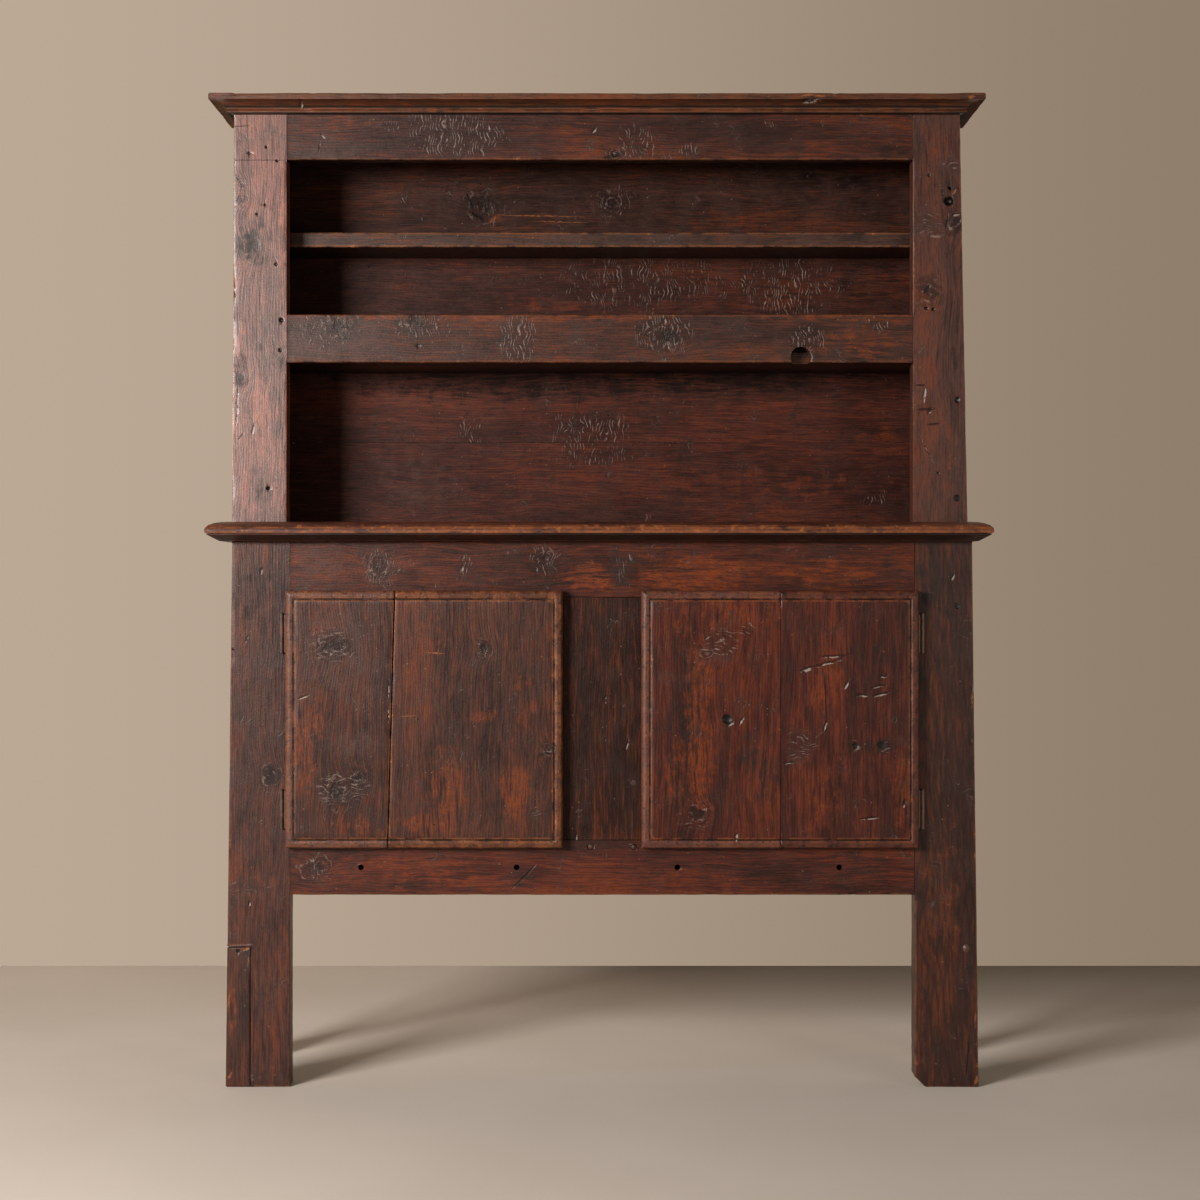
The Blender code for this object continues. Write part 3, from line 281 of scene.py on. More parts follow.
# What a board has unless its own line says otherwise: its grain's direction, the plane of its front and
# how deep marks reach behind it, the glow of its lighter streaks, its roughness and wax, how strongly each
# kind of age shows on it, how much painted shade darkens its undersides, and its marks. Each has a stain of
# its own.
DEFAULT_BOARD = dict(
    grain="x", front=RACK_FRONT, depth=0.014, glow=RUBBED_STAIN, gloss=0.40, wax=0.4, bloom=0.4, grime=0.5,
    rub=0.5, streak=0.76, flaked=0.0, soot=0.8, chipped=0.28, relief=0.7, bare_back=None,
    chatter=(), dark=(), warm=(), grey=(), knots=(), cracks=(), scores=(), chips=(), pits=(),
)
# Boards and backs that never show were left bare, and went brown with age and dust
BARE_BACK = "#60432f"
UNPOLISHED = dict(
    stain="#6b4a33", glow="#8d6a48", gloss=0.7, wax=0.1, bloom=0.3, grime=0.2, rub=0.3, streak=0.34,
    chipped=0.1,
)

# Boards that are alike: the sides and back legs, waxed less than the front, so that they are duller, the
# boards at the back of the rack, and the boards of the doors
SIDE_WOOD = dict(grain="z", front=0.0, gloss=0.56, wax=0.2)
RACK_BACK_BOARD = dict(front=RACK_BACK, gloss=0.5, bare_back=BARE_BACK, streak=0.58, glow="#7c3a1e")
DOOR_BOARD = dict(grain="z", front=DOOR_FRONT, wax=0.3, bare_back=BARE_BACK)

# Marks are (x, y, half width, half height, ...) in pixels of the photograph, where the eye sees them.
# Patches of torn grain (chatter), dark, warm or grey wood end with their strength. Scores, chips and cracks
# are (x, y, half length, half width, angle in degrees), and pits (x, y, radius, depth in millimetres).
BOARDS = {
    "base_stile_left": dict(
        grain="z", front=BASE_FRONT_Y, wax=0.3, stain="#462923", bloom=0.5,
        dark=((258, 600, 30, 40, 0.5), (272, 775, 10, 12, 0.8)),
        warm=((282, 800, 6, 40, 0.5), (238, 1010, 5, 30, 0.5), (262, 870, 20, 40, 0.3)),
        knots=((271, 776, 7, 9),),
        chips=((237, 1080, 10, 2, 5), (229, 1006, 8, 0.8, 85), (228.5, 870, 6, 0.8, 88)),
        scores=((262, 572, 3, 0.8, 70), (247, 640, 3, 0.7, 60), (250, 905, 3, 0.7, 80)),
    ),
    "base_stile_right": dict(
        grain="z", front=BASE_FRONT_Y, stain="#391c14", bloom=0.3,
        dark=((940, 590, 26, 40, 0.6), (966, 985, 5, 40, 0.7)),
        warm=((945, 900, 20, 60, 0.35), (920, 1040, 6, 30, 0.4)),
        chips=((976, 1080, 5, 1.6, 75), (975, 1020, 9, 0.7, 88), (972, 700, 10, 0.6, 89)),
        cracks=((968, 1058, 24, 0.7, 85),),
        scores=((953, 578, 3, 0.8, 60), (958, 607, 2.2, 2.2, 0)),
        pits=((958, 607, 2.4, 1.5),),
    ),
    "left_foot_splice": dict(
        grain="z", front=BASE_FRONT_Y, stain="#432319", bloom=0.4,
        warm=((232, 1010, 5, 25, 0.8),),
        chips=(
            (245, 949, 6, 1.8, 20), (248, 962, 5, 0.9, 85), (230, 1075, 4, 1.5, 60), (229, 1000, 7, 0.9, 88),
        ),
        pits=((238, 951, 1.8, 3.0),),
    ),
    "base_muntin": dict(
        grain="z", front=BASE_FRONT_Y, wax=0.2, stain="#2c1712", bloom=0.3,
        scores=((628, 745, 5, 0.7, 80), (606, 700, 4, 0.6, 84), (577, 838, 4, 0.8, 88)),
    ),
    "base_top_rail": dict(
        front=BASE_FRONT_Y, wax=0.3, stain="#431b11", bloom=0.35,
        chatter=(
            (382, 569, 16, 18, 0.8), (463, 565, 9, 9, 0.9), (545, 559, 14, 14, 0.8), (625, 566, 12, 22, 0.5),
        ),
        dark=((622, 566, 16, 26, 0.7), (890, 560, 20, 20, 0.5)),
        warm=((590, 578, 26, 14, 1.0), (690, 575, 60, 22, 0.9), (820, 575, 70, 14, 0.6)),
        grey=((382, 569, 18, 22, 0.8), (320, 568, 30, 25, 0.5)),
        knots=((378, 566, 8, 9), (545, 558, 6, 6)),
    ),
    "base_bottom_rail": dict(
        front=BASE_FRONT_Y, wax=0.3, stain="#4a1e15", bloom=0.35,
        chatter=((316, 870, 12, 12, 0.6),),
        dark=((522, 876, 24, 12, 0.6), (860, 860, 40, 14, 0.4)),
        warm=((420, 872, 90, 18, 0.5), (700, 880, 60, 10, 0.4)),
        grey=((316, 870, 14, 16, 0.7),),
        knots=((316, 868, 10, 9),),
        cracks=((524, 877, 16, 1.0, 45),),
    ),
    "base_back_leg_left": dict(SIDE_WOOD, stain="#3f241b"),
    "base_back_leg_right": dict(SIDE_WOOD, stain="#3f241b"),
    "base_side_panel_left": dict(SIDE_WOOD, stain="#45261c"),
    "base_side_panel_right": dict(SIDE_WOOD, stain="#45261c"),
    "base_back_board_1": UNPOLISHED,
    "base_back_board_2": dict(UNPOLISHED, stain="#5e412e"),
    "base_back_board_3": dict(UNPOLISHED, stain="#70503a"),
    "cabinet_floor": UNPOLISHED,
    "cabinet_shelf": UNPOLISHED,
    "muntin_peg_1": dict(grain="y", front=BASE_FRONT_Y, stain="#3f2015"),
    "muntin_peg_2": dict(grain="y", front=BASE_FRONT_Y, stain="#3f2015"),
    "counter_board": dict(
        front=NOSE_FRONT, chipped=0.75, flaked=0.8, glow="#965224", stain="#5a3126", bloom=0.2, rub=0.9,
        warm=((700, 529, 330, 8, 0.6),),
    ),
    "counter_front_moulding": dict(front=NOSE_FRONT, stain="#331a12", bloom=0.1),
    "counter_left_moulding": dict(grain="y", stain="#331a12", bloom=0.1),
    "counter_right_moulding": dict(grain="y", stain="#331a12", bloom=0.1),
    "left_door_left_board": dict(
        DOOR_BOARD, stain="#3d211a", bloom=0.4, rim="#6e4a40", gold=0.3, rub=0.9,
        chatter=((332, 646, 20, 16, 1.0), (365, 627, 6, 9, 1.0), (345, 786, 24, 18, 0.9)),
        dark=((302, 708, 8, 16, 0.6),),
        warm=((303, 755, 12, 45, 0.9), (320, 725, 6, 16, 0.9), (355, 830, 40, 14, 0.4)),
        grey=((345, 650, 40, 50, 0.7), (358, 745, 26, 14, 0.7)),
        knots=((357, 778, 7, 7), (336, 792, 10, 12), (334, 646, 15, 10)),
        scores=((304, 698, 5, 0.9, 20), (389, 690, 9, 0.5, 88), (388.5, 716, 7, 0.6, 92)),
    ),
    "left_door_right_board": dict(
        DOOR_BOARD, stain="#482920", bloom=0.3, rim="#633a28", gold=0.55, rub=0.9,
        chatter=((484, 648, 7, 8, 1.0), (549, 750, 5, 6, 0.9), (535, 812, 8, 5, 0.7)),
        warm=(
            (478, 716, 20, 7, 0.6), (515, 790, 16, 28, 0.9), (445, 790, 22, 40, 0.7),
            (430, 825, 30, 14, 0.7), (435, 640, 10, 20, 0.5), (530, 700, 20, 40, 0.4),
        ),
        knots=((484, 648, 5, 6), (549, 750, 4, 4)),
        chips=((434, 653, 10, 1.0, -4), (408, 716, 9, 0.6, 3)),
    ),
    "right_door_left_board": dict(
        DOOR_BOARD, stain="#4a1d13", bloom=0.15, rim="#66423a", gold=0.25, rub=0.8,
        chatter=((722, 643, 16, 14, 1.0), (748, 630, 8, 8, 1.0), (695, 820, 14, 12, 0.7)),
        dark=((760, 770, 18, 50, 0.7), (662, 720, 12, 60, 0.4)),
        warm=((700, 730, 14, 110, 0.8), (720, 620, 60, 25, 0.5), (685, 775, 30, 35, 0.6)),
        grey=((712, 655, 26, 12, 0.6), (672, 680, 22, 10, 0.5)),
        knots=((707, 653, 5, 4), (700, 812, 8, 7)),
        scores=((742, 722, 4, 0.9, 60), (731, 725, 4, 1.0, 35), (737, 838, 4, 1.0, 85)),
        pits=((727, 719, 5, 3.0),),
    ),
    "right_door_right_board": dict(
        DOOR_BOARD, stain="#451c15", bloom=0.2, rim="#522f27", gold=0.25, rub=0.8,
        chatter=((801, 745, 14, 13, 1.0), (857, 746, 6, 5, 1.0), (884, 746, 9, 6, 1.0)),
        dark=((880, 746, 24, 8, 0.7), (860, 655, 40, 14, 0.5)),
        warm=((825, 690, 20, 35, 0.6), (905, 790, 14, 40, 0.6), (820, 790, 24, 40, 0.5)),
        grey=((801, 748, 16, 16, 0.6), (905, 740, 14, 8, 0.6)),
        scores=(
            (821, 666, 21, 0.8, 15), (836, 657, 13, 0.7, 3), (807, 671, 6, 1.0, 18), (862, 696, 6, 0.9, -4),
            (882, 695, 8, 0.8, 12), (880, 687, 8, 0.6, 12), (885, 677, 4, 0.9, 10), (826, 727, 5, 0.8, 72),
            (847, 686, 4, 1.0, 60), (790, 764, 6, 0.8, 5), (905, 804, 4, 1.2, 75), (870, 819, 9, 0.6, 6),
        ),
        cracks=((826, 700, 26, 0.7, 92), (905, 803, 3, 1.4, 60)),
        pits=((855, 746, 3, 1.5), (881, 745, 4, 1.5)),
    ),
    "left_door_lower_batten": UNPOLISHED,
    "left_door_upper_batten": UNPOLISHED,
    "right_door_lower_batten": UNPOLISHED,
    "right_door_upper_batten": UNPOLISHED,
    # The left stile's light pink-grey stain, its pink glow and its strong grey bloom are partly a painted
    # sheen of the key light from the left
    "rack_stile_left": dict(
        grain="z", wax=0.6, relief=0.42, glow="#b06a55", stain="#8a5d53", bloom=0.8, gloss=0.37, grime=0.35,
        dark=(
            (257, 226, 9, 9, 0.8), (250, 246, 13, 14, 0.9), (258, 260, 8, 6, 0.7), (241, 364, 8, 10, 0.8),
            (240, 380, 7, 8, 0.9), (280, 364, 9, 8, 0.7), (257, 347, 7, 6, 0.6), (262, 492, 8, 13, 0.5),
            (262, 236, 20, 10, 0.5),
        ),
        warm=(
            (248, 200, 10, 16, 0.5), (239, 330, 6, 34, 0.6), (244, 275, 10, 20, 0.4), (243, 470, 8, 20, 0.5),
            (276, 445, 4, 60, 0.5), (260, 415, 12, 34, 0.9), (282, 230, 5, 60, 0.6), (246, 130, 8, 14, 0.5),
        ),
        grey=(
            (272, 140, 14, 20, 0.6), (262, 480, 14, 40, 0.5), (276, 300, 10, 60, 0.9),
            (248, 320, 8, 40, 0.6),
        ),
        knots=((241, 184, 4, 4), (242, 198, 5, 5), (250, 247, 9, 9), (240, 379, 7, 8), (281, 350, 3, 3)),
        cracks=(
            (242, 126, 9, 0.5, 4), (273, 142, 18, 0.4, 90), (262, 160, 28, 0.4, 0), (241, 436, 4, 0.9, 50),
            (287, 140, 40, 0.4, 90),
        ),
        scores=((254, 430, 5, 1.0, 80), (238, 405, 18, 1.0, 88)),
        chips=((287.5, 510, 8, 1.6, 88),),
        pits=(
            (281, 320, 2.4, 6), (280, 350, 1.9, 3), (268, 488, 2.0, 6), (249, 153, 1.6, 3),
            (277, 161, 1.5, 3), (276, 264, 1.7, 3), (266, 147, 1.4, 3), (265, 205, 1.4, 3),
            (257, 214, 1.5, 3),
        ),
    ),
    "rack_stile_right": dict(
        grain="z", stain="#523129", bloom=0.65,
        chatter=((930, 225, 18, 14, 0.7), (950, 165, 12, 8, 0.6)),
        dark=((948, 200, 14, 24, 0.5), (930, 180, 14, 30, 0.3), (925, 400, 10, 20, 0.4)),
        warm=((934, 140, 6, 24, 0.5), (930, 300, 12, 20, 0.5), (945, 450, 12, 50, 0.4)),
        grey=((935, 500, 24, 16, 0.4),),
        knots=((929, 291, 10, 10), (957, 222, 10, 9)),
        cracks=(
            (927, 289, 5, 2.0, 55), (927, 409, 9, 1.2, 4), (934, 424, 7, 0.9, 6), (921, 385, 5, 0.8, 0),
            (947, 222, 8, 0.9, 80),
        ),
        scores=(
            (925, 396, 7, 1.0, 85), (930, 412, 4, 1.4, 60), (927, 450, 15, 0.3, -62), (956, 215, 4, 0.8, 10),
        ),
        chips=(
            (954, 192, 3, 1.2, 60), (962, 239, 4, 1.4, 85), (967, 480, 20, 0.6, 89), (967, 503, 4, 1.2, 80),
        ),
        pits=(
            (949, 201, 4.8, 12), (950, 188, 2.0, 8), (926, 308, 1.8, 4), (933, 309, 1.6, 4),
            (957, 400, 3.0, 3), (957, 498, 3.6, 1.2), (929, 175, 1.6, 3), (938, 473, 1.2, 3),
        ),
    ),
    "rack_side_left": dict(SIDE_WOOD, stain="#3f241b"),
    "rack_side_right": dict(SIDE_WOOD, stain="#3f241b"),
    "rack_top_rail": dict(
        wax=0.35, stain="#3d1d16", bloom=0.4,
        chatter=(
            (460, 135, 42, 22, 1.0), (640, 142, 18, 16, 0.9), (690, 150, 10, 8, 0.8), (393, 127, 9, 6, 0.9),
            (417, 120, 8, 6, 0.9),
        ),
        dark=((617, 158, 14, 4, 1.0),),
        warm=((340, 122, 40, 8, 0.4), (640, 155, 60, 6, 0.5), (850, 150, 60, 10, 0.3)),
        grey=((330, 150, 50, 16, 0.6), (460, 135, 42, 22, 0.4)),
        scores=((324, 137, 3, 0.9, -50), (595, 131, 2.5, 1.0, 40), (320, 148, 5, 0.6, 85)),
        cracks=((612, 156, 9, 1.2, 12),),
        knots=((618, 154, 7, 5),),
    ),
    "rack_plate_rail": dict(
        wax=0.4, stain="#43241b", bloom=0.45,
        chatter=(
            (328, 330, 26, 16, 1.0), (420, 325, 26, 12, 0.9), (516, 338, 18, 26, 1.0),
            (665, 332, 28, 20, 1.0), (806, 338, 18, 14, 0.9), (880, 322, 14, 10, 0.7),
        ),
        dark=((700, 345, 50, 14, 0.3),),
        warm=(
            (380, 316, 90, 4, 0.8), (560, 318, 120, 4, 0.8), (860, 345, 50, 18, 0.5), (840, 317, 70, 4, 0.8),
        ),
        grey=((330, 338, 60, 24, 0.8),),
        knots=((668, 338, 9, 8), (340, 322, 12, 12), (415, 318, 12, 10)),
        pits=((418, 346, 1.8, 2),),
    ),
    "rack_lower_shelf": dict(front=RACK_FRONT, stain="#3a211a"),
    "rack_upper_shelf": dict(front=SHELF_FRONT, wax=0.35, stain="#3f2a23", bloom=0.8, rub=0.9),
    "rack_back_board_1": dict(
        RACK_BACK_BOARD, wax=0.16, stain="#421d16", bloom=0.4,
        chatter=((591, 455, 40, 12, 0.7), (877, 499, 18, 5, 0.8)),
        warm=((760, 485, 120, 20, 0.4),),
        grey=((420, 480, 60, 30, 0.5),),
    ),
    "rack_back_board_2": dict(
        RACK_BACK_BOARD, wax=0.16, stain="#441e16", bloom=0.4,
        chatter=((591, 430, 40, 16, 0.9), (472, 432, 14, 16, 0.6)),
        # Painted shadow of the plate rail across the top of this board
        dark=((600, 376, 330, 26, 0.7),),
        warm=((880, 440, 26, 16, 0.6), (600, 425, 60, 20, 0.3)),
    ),
    "rack_back_board_3": dict(
        RACK_BACK_BOARD, wax=0.14, stain="#402019", bloom=0.45,
        chatter=((640, 285, 90, 24, 0.7), (785, 285, 45, 28, 1.0)),
        dark=((865, 280, 34, 30, 0.5),),
        warm=((780, 295, 45, 20, 0.6), (560, 305, 90, 8, 0.4)),
    ),
    "rack_back_board_4": dict(
        RACK_BACK_BOARD, wax=0.12, stain="#382019", bloom=0.55,
        chatter=((490, 205, 22, 16, 0.6), (615, 202, 18, 16, 0.7), (405, 197, 6, 12, 0.8)),
        dark=((840, 180, 60, 14, 0.6),),
        warm=((720, 222, 40, 8, 0.6), (495, 218, 12, 6, 0.6)),
        knots=((484, 207, 11, 11), (610, 203, 8, 8)),
        chips=((541, 216, 44, 0.7, -1), (560, 222, 26, 0.6, -2), (494, 219, 7, 0.9, 40)),
        cracks=((470, 200, 9, 0.8, -65), (478, 216, 8, 1.2, -30)),
    ),
    "rack_top_board": dict(UNPOLISHED, stain="#5e412e"),
    "cornice_front": dict(
        front=-0.066, depth=0.06, soot=0.15, chipped=0.5, stain="#54301f", bloom=0.3, rub=0.35,
        warm=((400, 105, 150, 6, 0.5), (690, 105, 250, 6, 0.3)),
        chips=((808, 95, 8, 1.2, 10), (970, 97, 5, 1.6, 0), (242, 112, 3, 1.0, 30), (820, 96, 6, 1.0, 0)),
        scores=((300, 103, 3, 1.0, 80), (812, 100, 9, 1.0, 5)),
    ),
    # The two returns are one wood: the left's light golden stain is painted light from the key on the left,
    # the right's dark stain and underside darkening are painted shade
    "cornice_left": dict(grain="y", gloss=0.75, wax=0.1, soot=0.0, stain="#6a4a2c", bloom=0.2),
    "cornice_right": dict(grain="y", gloss=0.75, wax=0.1, soot=0.2, stain="#2f1a12", bloom=0.2),
}
# Pieces that show less and are cut into larger faces, as the battens are
PLAIN = ("base_back_board", "base_back_leg", "cabinet", "rack_top_board", "base_side", "rack_side")


def seen_at(x, y, front):
    """The place, in metres, of a pixel on a plane that faces the camera, and the pixel's size there."""
    pixel = VIEW_WIDTH / PICTURE_SIZE * (front - CAMERA_Y) / (BASE_FRONT_Y - CAMERA_Y)
    return CAMERA_X + (x - PICTURE_SIZE / 2) * pixel, EYE_HEIGHT - (y - EYE_ROW) * pixel, pixel


def nearest_mark(tree, place, marks, front, depth):
    """How far a point lies from the nearest of some oval marks: 0 in the middle, 1 on the rim."""
    nearest = None
    for mark in marks:
        x, z, pixel = seen_at(mark[0], mark[1], front)
        turn = radians(mark[4]) if len(mark) > 4 else 0.0
        local = add(
            tree, "Mapping",
            {"Vector": place, "Location": (x, front, z), "Rotation": (0, -turn, 0),
             "Scale": (mark[2] * pixel, depth, mark[3] * pixel)},
            vector_type="TEXTURE",
        )
        reach = add(tree, "VectorMath", [local], output="Value", operation="LENGTH")
        nearest = reach if nearest is None else add(tree, "Math", (nearest, reach), operation="MINIMUM")
    return nearest


def moulding_reach(tree, place, name):
    """How far a point of a door lies in from the nearest of its four edges."""
    door = name.split("_door_")[0] + "_door_"
    low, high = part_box(door + "left_board")[0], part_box(door + "right_board")[1]
    reaches = []
    for axis, left, right in (("X", low.x, high.x), ("Z", low.z, high.z)):
        level = add(tree, "SeparateXYZ", [place], output=axis)
        away = away_from(tree, level, (left + right) / 2)
        reaches.append(add(tree, "Math", ((right - left) / 2, away), operation="SUBTRACT"))
    return add(tree, "Math", reaches, operation="MINIMUM")


class Wood:
    """A board's material while it is made: its node tree, its patterns, its colour and its relief."""

    def __init__(self, tree, name, seed, board):
        self.tree = tree
        self.name = name
        self.board = board
        self.stain = board["stain"]
        self.place = add(tree, "TexCoord", output="Object")
        self.turned = add(
            tree, "Mapping",
            {"Vector": self.place, "Location": SEED_STEP * seed, "Rotation": GRAIN_TURN[board["grain"]]},
        )

    def lay(self, colour, *parts):
        """Lays a colour over what is there, as strongly as the mask of some parts."""
        self.colour = blend(self.tree, self.colour, colour, *parts)

    def carve(self, amount, value):
        """Raises the relief where a mask is, or sinks it where the amount is below zero."""
        self.height = weighted(self.tree, self.height, (value, amount))


def read_patterns(wood):
    """Streaks, fibres and growth rings along the board's own grain, which wanders slowly and swings
    round the knots, and the uneven tone of its surface."""
    tree = wood.tree
    scaled = add(tree, "Mapping", {"Vector": wood.turned, "Scale": WANDER_SCALE})
    wander = add(tree, "TexNoise", {"Vector": scaled, "Scale": 1.0, "Detail": 5.0}, output="Color")
    inputs = (wander, (0.0, GRAIN_WANDER, GRAIN_WANDER), wood.turned)
    wandered = add(tree, "VectorMath", inputs, operation="MULTIPLY_ADD")
    swirl = add(tree, "Attribute", output="Fac", attribute_name="swirl")
    swung = add(tree, "CombineXYZ", {"Y": swirl, "Z": swirl})
    wood.wandered = add(tree, "VectorMath", (wandered, swung), operation="ADD")

    # The rings stand round a pith that lies behind the face
    inputs = {"Vector": wood.wandered, "Location": (0, PITH_DEPTH, 0), "Scale": (PITH_LEAN, 1, 1)}
    pith = add(tree, "Mapping", inputs)
    radius = add(tree, "VectorMath", [pith], output="Value", operation="LENGTH")
    rings = add(tree, "Math", (radius, 2 * pi / RING_WIDTH), operation="MULTIPLY")
    rings = add(tree, "Math", [rings], operation="SINE")
    wood.late_wood = mask(tree, (rings, 0.2, 1.0))

    for name, (coordinates, scale, detail, roughness) in PATTERNS.items():
        mapped = add(tree, "Mapping", {"Vector": getattr(wood, coordinates), "Scale": scale})
        inputs = {"Vector": mapped, "Scale": 1.0, "Detail": detail, "Roughness": roughness}
        setattr(wood, name, add(tree, "TexNoise", inputs))
    wood.lift = mask(tree, (wood.broken, 0.45, 0.68))
    wood.border = add(tree, "Math", (wood.border, 0.5), operation="SUBTRACT")


def read_marks(wood):
    """How strongly each kind of patch acts at a point, with ragged borders."""
    wood.masks = {}
    for kind in KINDS:
        soft = add(wood.tree, "Attribute", output="Fac", attribute_name=kind)
        ragged = weighted(wood.tree, soft, (wood.border, 2.2))
        wood.masks[kind] = mask(wood.tree, (ragged, 0.18, 0.92))


def stain_board(wood):
    """Red-brown streaks of stain under a grey bloom of old wax, which is partly a painted sheen, with black
    grime in the hollows and dark patches, one of them a painted shadow.
    """
    tree, board, stain, masks = wood.tree, wood.board, wood.stain, wood.masks
    wood.level = weighted(
        tree, 0.0, (wood.tone, 0.4), (wood.streaks, 0.45), (wood.fibres, 0.15), (wood.late_wood, -0.045)
    )
    dull, bright = shade(stain, GRIME_AND_SHADE, board["streak"]), shade(stain, board["glow"], 0.57)
    wood.colour = add(tree, "ValToRGB", [wood.level])
    set_stops(wood.colour, STREAK_LEVELS, (dull, stain, bright))

    # The bloom is partly a painted sheen of the key light, laid more on the left pieces
    wood.lay(shade(stain, WAX_BLOOM_AND_SHEEN, 0.6), (wood.cloud, 0.4, 0.62), board["bloom"] * 0.7)
    wood.lay(shade(stain, WAX_BLOOM_AND_SHEEN, 0.75), masks["grey"], (wood.mottle, 0.3, 0.65, 0.3, 0.8))
    warm = mask(tree, (wood.streaks, 0.36, 0.56), (wood.fibres, 0.38, 0.56, 0.15, 1.0))
    wood.lay(shade(stain, board["glow"], 0.85), masks["warm"], warm)
    wood.lay(shade(stain, GRIME_AND_SHADE, 0.7), (wood.fibres, 0.5, 0.66, 0.0, 0.55))
    wood.lay(shade(stain, TORN_GRAIN_AND_GLINT, 0.22), (wood.fibres, 0.45, 0.32, 0.0, 0.4))
    wood.lay(GRIME_AND_SHADE, (wood.mottle, 0.52, 0.68, 0.0, 0.3))
    # Dark patches are real dark wood, apart from one on the rack's second back board, which is a painted
    # shadow
    dark = mask(tree, masks["dark"], (wood.streaks, 0.6, 0.42, 0.3, 0.9))
    hollows = mask(tree, (wood.cloud, 0.53, 0.74, 0.0, board["grime"]))
    wood.grime = add(tree, "Math", (dark, hollows), operation="MAXIMUM")
    wood.lay(GRIME_AND_SHADE, wood.grime)
    wood.height = weighted(
        tree, 0.0, (wood.fibres, 0.25), (wood.streaks, 0.4), (wood.mottle, 0.45), (wood.late_wood, 0.08)
    )


def bare_backs_and_underside_shade(wood):
    """The rear faces of some boards were left bare, and faces that look down get painted shade, which
    makes them nearly black."""
    tree, bare = wood.tree, wood.board["bare_back"]
    if bare:
        wood.rear = add(tree, "Attribute", output="Fac", attribute_name="rear")
        brown = add(tree, "ValToRGB", [wood.level])
        set_stops(brown, STREAK_LEVELS, (shade(bare, GRIME_AND_SHADE, 0.34), bare, shade(bare, BARE_WOOD, 0.3)))
        wood.lay(brown, wood.rear)
    normal = add(tree, "NewGeometry", output="Normal")
    wood.facing = add(tree, "SeparateXYZ", [normal], output="Z")
    # Painted shade: faces that look down are darkened, as much as the board says
    wood.lay(GRIME_AND_SHADE, (wood.facing, -0.6, -0.95, 0.0, wood.board["soot"]))


def tear_grain(wood):
    """Torn grain: ripples where the plane lifted the fibres, in broken, wavering lines, raised in the relief
    and painted pale as glints.
    """
    tree, chatter = wood.tree, wood.masks["chatter"]
    along = add(tree, "SeparateXYZ", [wood.turned], output="X")
    phase = weighted(tree, 0.0, (along, 2 * pi / RIPPLE), (wood.sway, 38.0))
    ripples = add(tree, "Math", [phase], operation="SINE")
    torn = mask(tree, (ripples, 0.35, 1.0), wood.lift, chatter)
    wood.lay(shade(wood.stain, GRIME_AND_SHADE, 0.6), chatter, 0.45)
    # Painted highlight: the ridges are painted pale, as glints
    wood.lay(TORN_GRAIN_AND_GLINT, torn, 0.8)
    wood.carve(1.3, torn)


def scratch_and_chip(wood):
    """Old scratches, thin and curved, and worm holes, chips and specks, drawn 2 to 3 mm wide so that
    they show."""
    tree, chipped = wood.tree, wood.board["chipped"]
    inputs = {"Vector": wood.place, "Scale": SCRATCH_SCALE, "Detail": 2.0, "Distortion": 1.2}
    away = away_from(tree, add(tree, "TexNoise", inputs), 0.5)
    scratch = mask(tree, (away, 0.012, 0.0), (wood.cloud, 0.56, 0.66))
    wood.lay(TORN_GRAIN_AND_GLINT, scratch, 0.2)
    wood.carve(-0.35, scratch)

    inputs = {"Vector": wood.place, "Scale": HOLE_SCALE}
    spots = add(tree, "TexVoronoi", inputs, feature="F1").node.outputs
    kind = add(tree, "SeparateColor", [spots["Color"]]).node.outputs
    hole = mask(tree, (spots["Distance"], 0.05, 0.035), (kind[0], 0.6, 0.61))
    chip = mask(tree, (spots["Distance"], 0.06, 0.03), (kind[1], 0.99 - chipped, 1.0 - chipped))
    wood.lay(BARE_WOOD, chip, 0.7)
    wood.lay(WORM_HOLE, hole, 0.9)
    wood.carve(-1.0, hole)
    wood.carve(-0.4, chip)

    inputs = {"Vector": wood.place, "Scale": SPECK_SCALE}
    specks = add(tree, "TexVoronoi", inputs, feature="F1").node.outputs
    kind = add(tree, "SeparateColor", [specks["Color"]])
    chosen = mask(tree, (kind, 0.97 - 0.36 * chipped, 0.98 - 0.36 * chipped))
    wood.lay(shade(BARE_WOOD, TORN_GRAIN_AND_GLINT, 0.5), (specks["Distance"], 0.13, 0.06), chosen, 0.5)


def rub_edges(wood):
    """Rubbed arrises: stain worn to orange, and bare wood at the worst places. Where a board has flakes,
    they are 5 to 10 mm across, and fewer on top, where use has polished it."""
    tree, board = wood.tree, wood.board
    edge = add(tree, "Attribute", output="Fac", attribute_name="edge")
    worn = mask(tree, (edge, 0.004, 0.0008), (wood.on_edge, 0.37, 0.54))
    wood.lay(shade(wood.stain, BARE_WOOD, 0.52), worn, board["rub"] * 0.9)
    wood.lay(BARE_WOOD, (edge, 0.0045, 0.0015), (wood.on_edge, 0.62, 0.68), board["rub"])
    if board["flaked"]:
        inputs = {"Vector": wood.place, "Scale": FLAKE_SCALE, "Detail": 4.0, "Roughness": 0.6}
        flake = (add(tree, "TexNoise", inputs), 0.56, 0.64, 0.0, board["flaked"])
        wood.lay(shade(wood.stain, BARE_WOOD, 0.75), flake, (wood.facing, 0.7, 0.95, 1.0, 0.3))


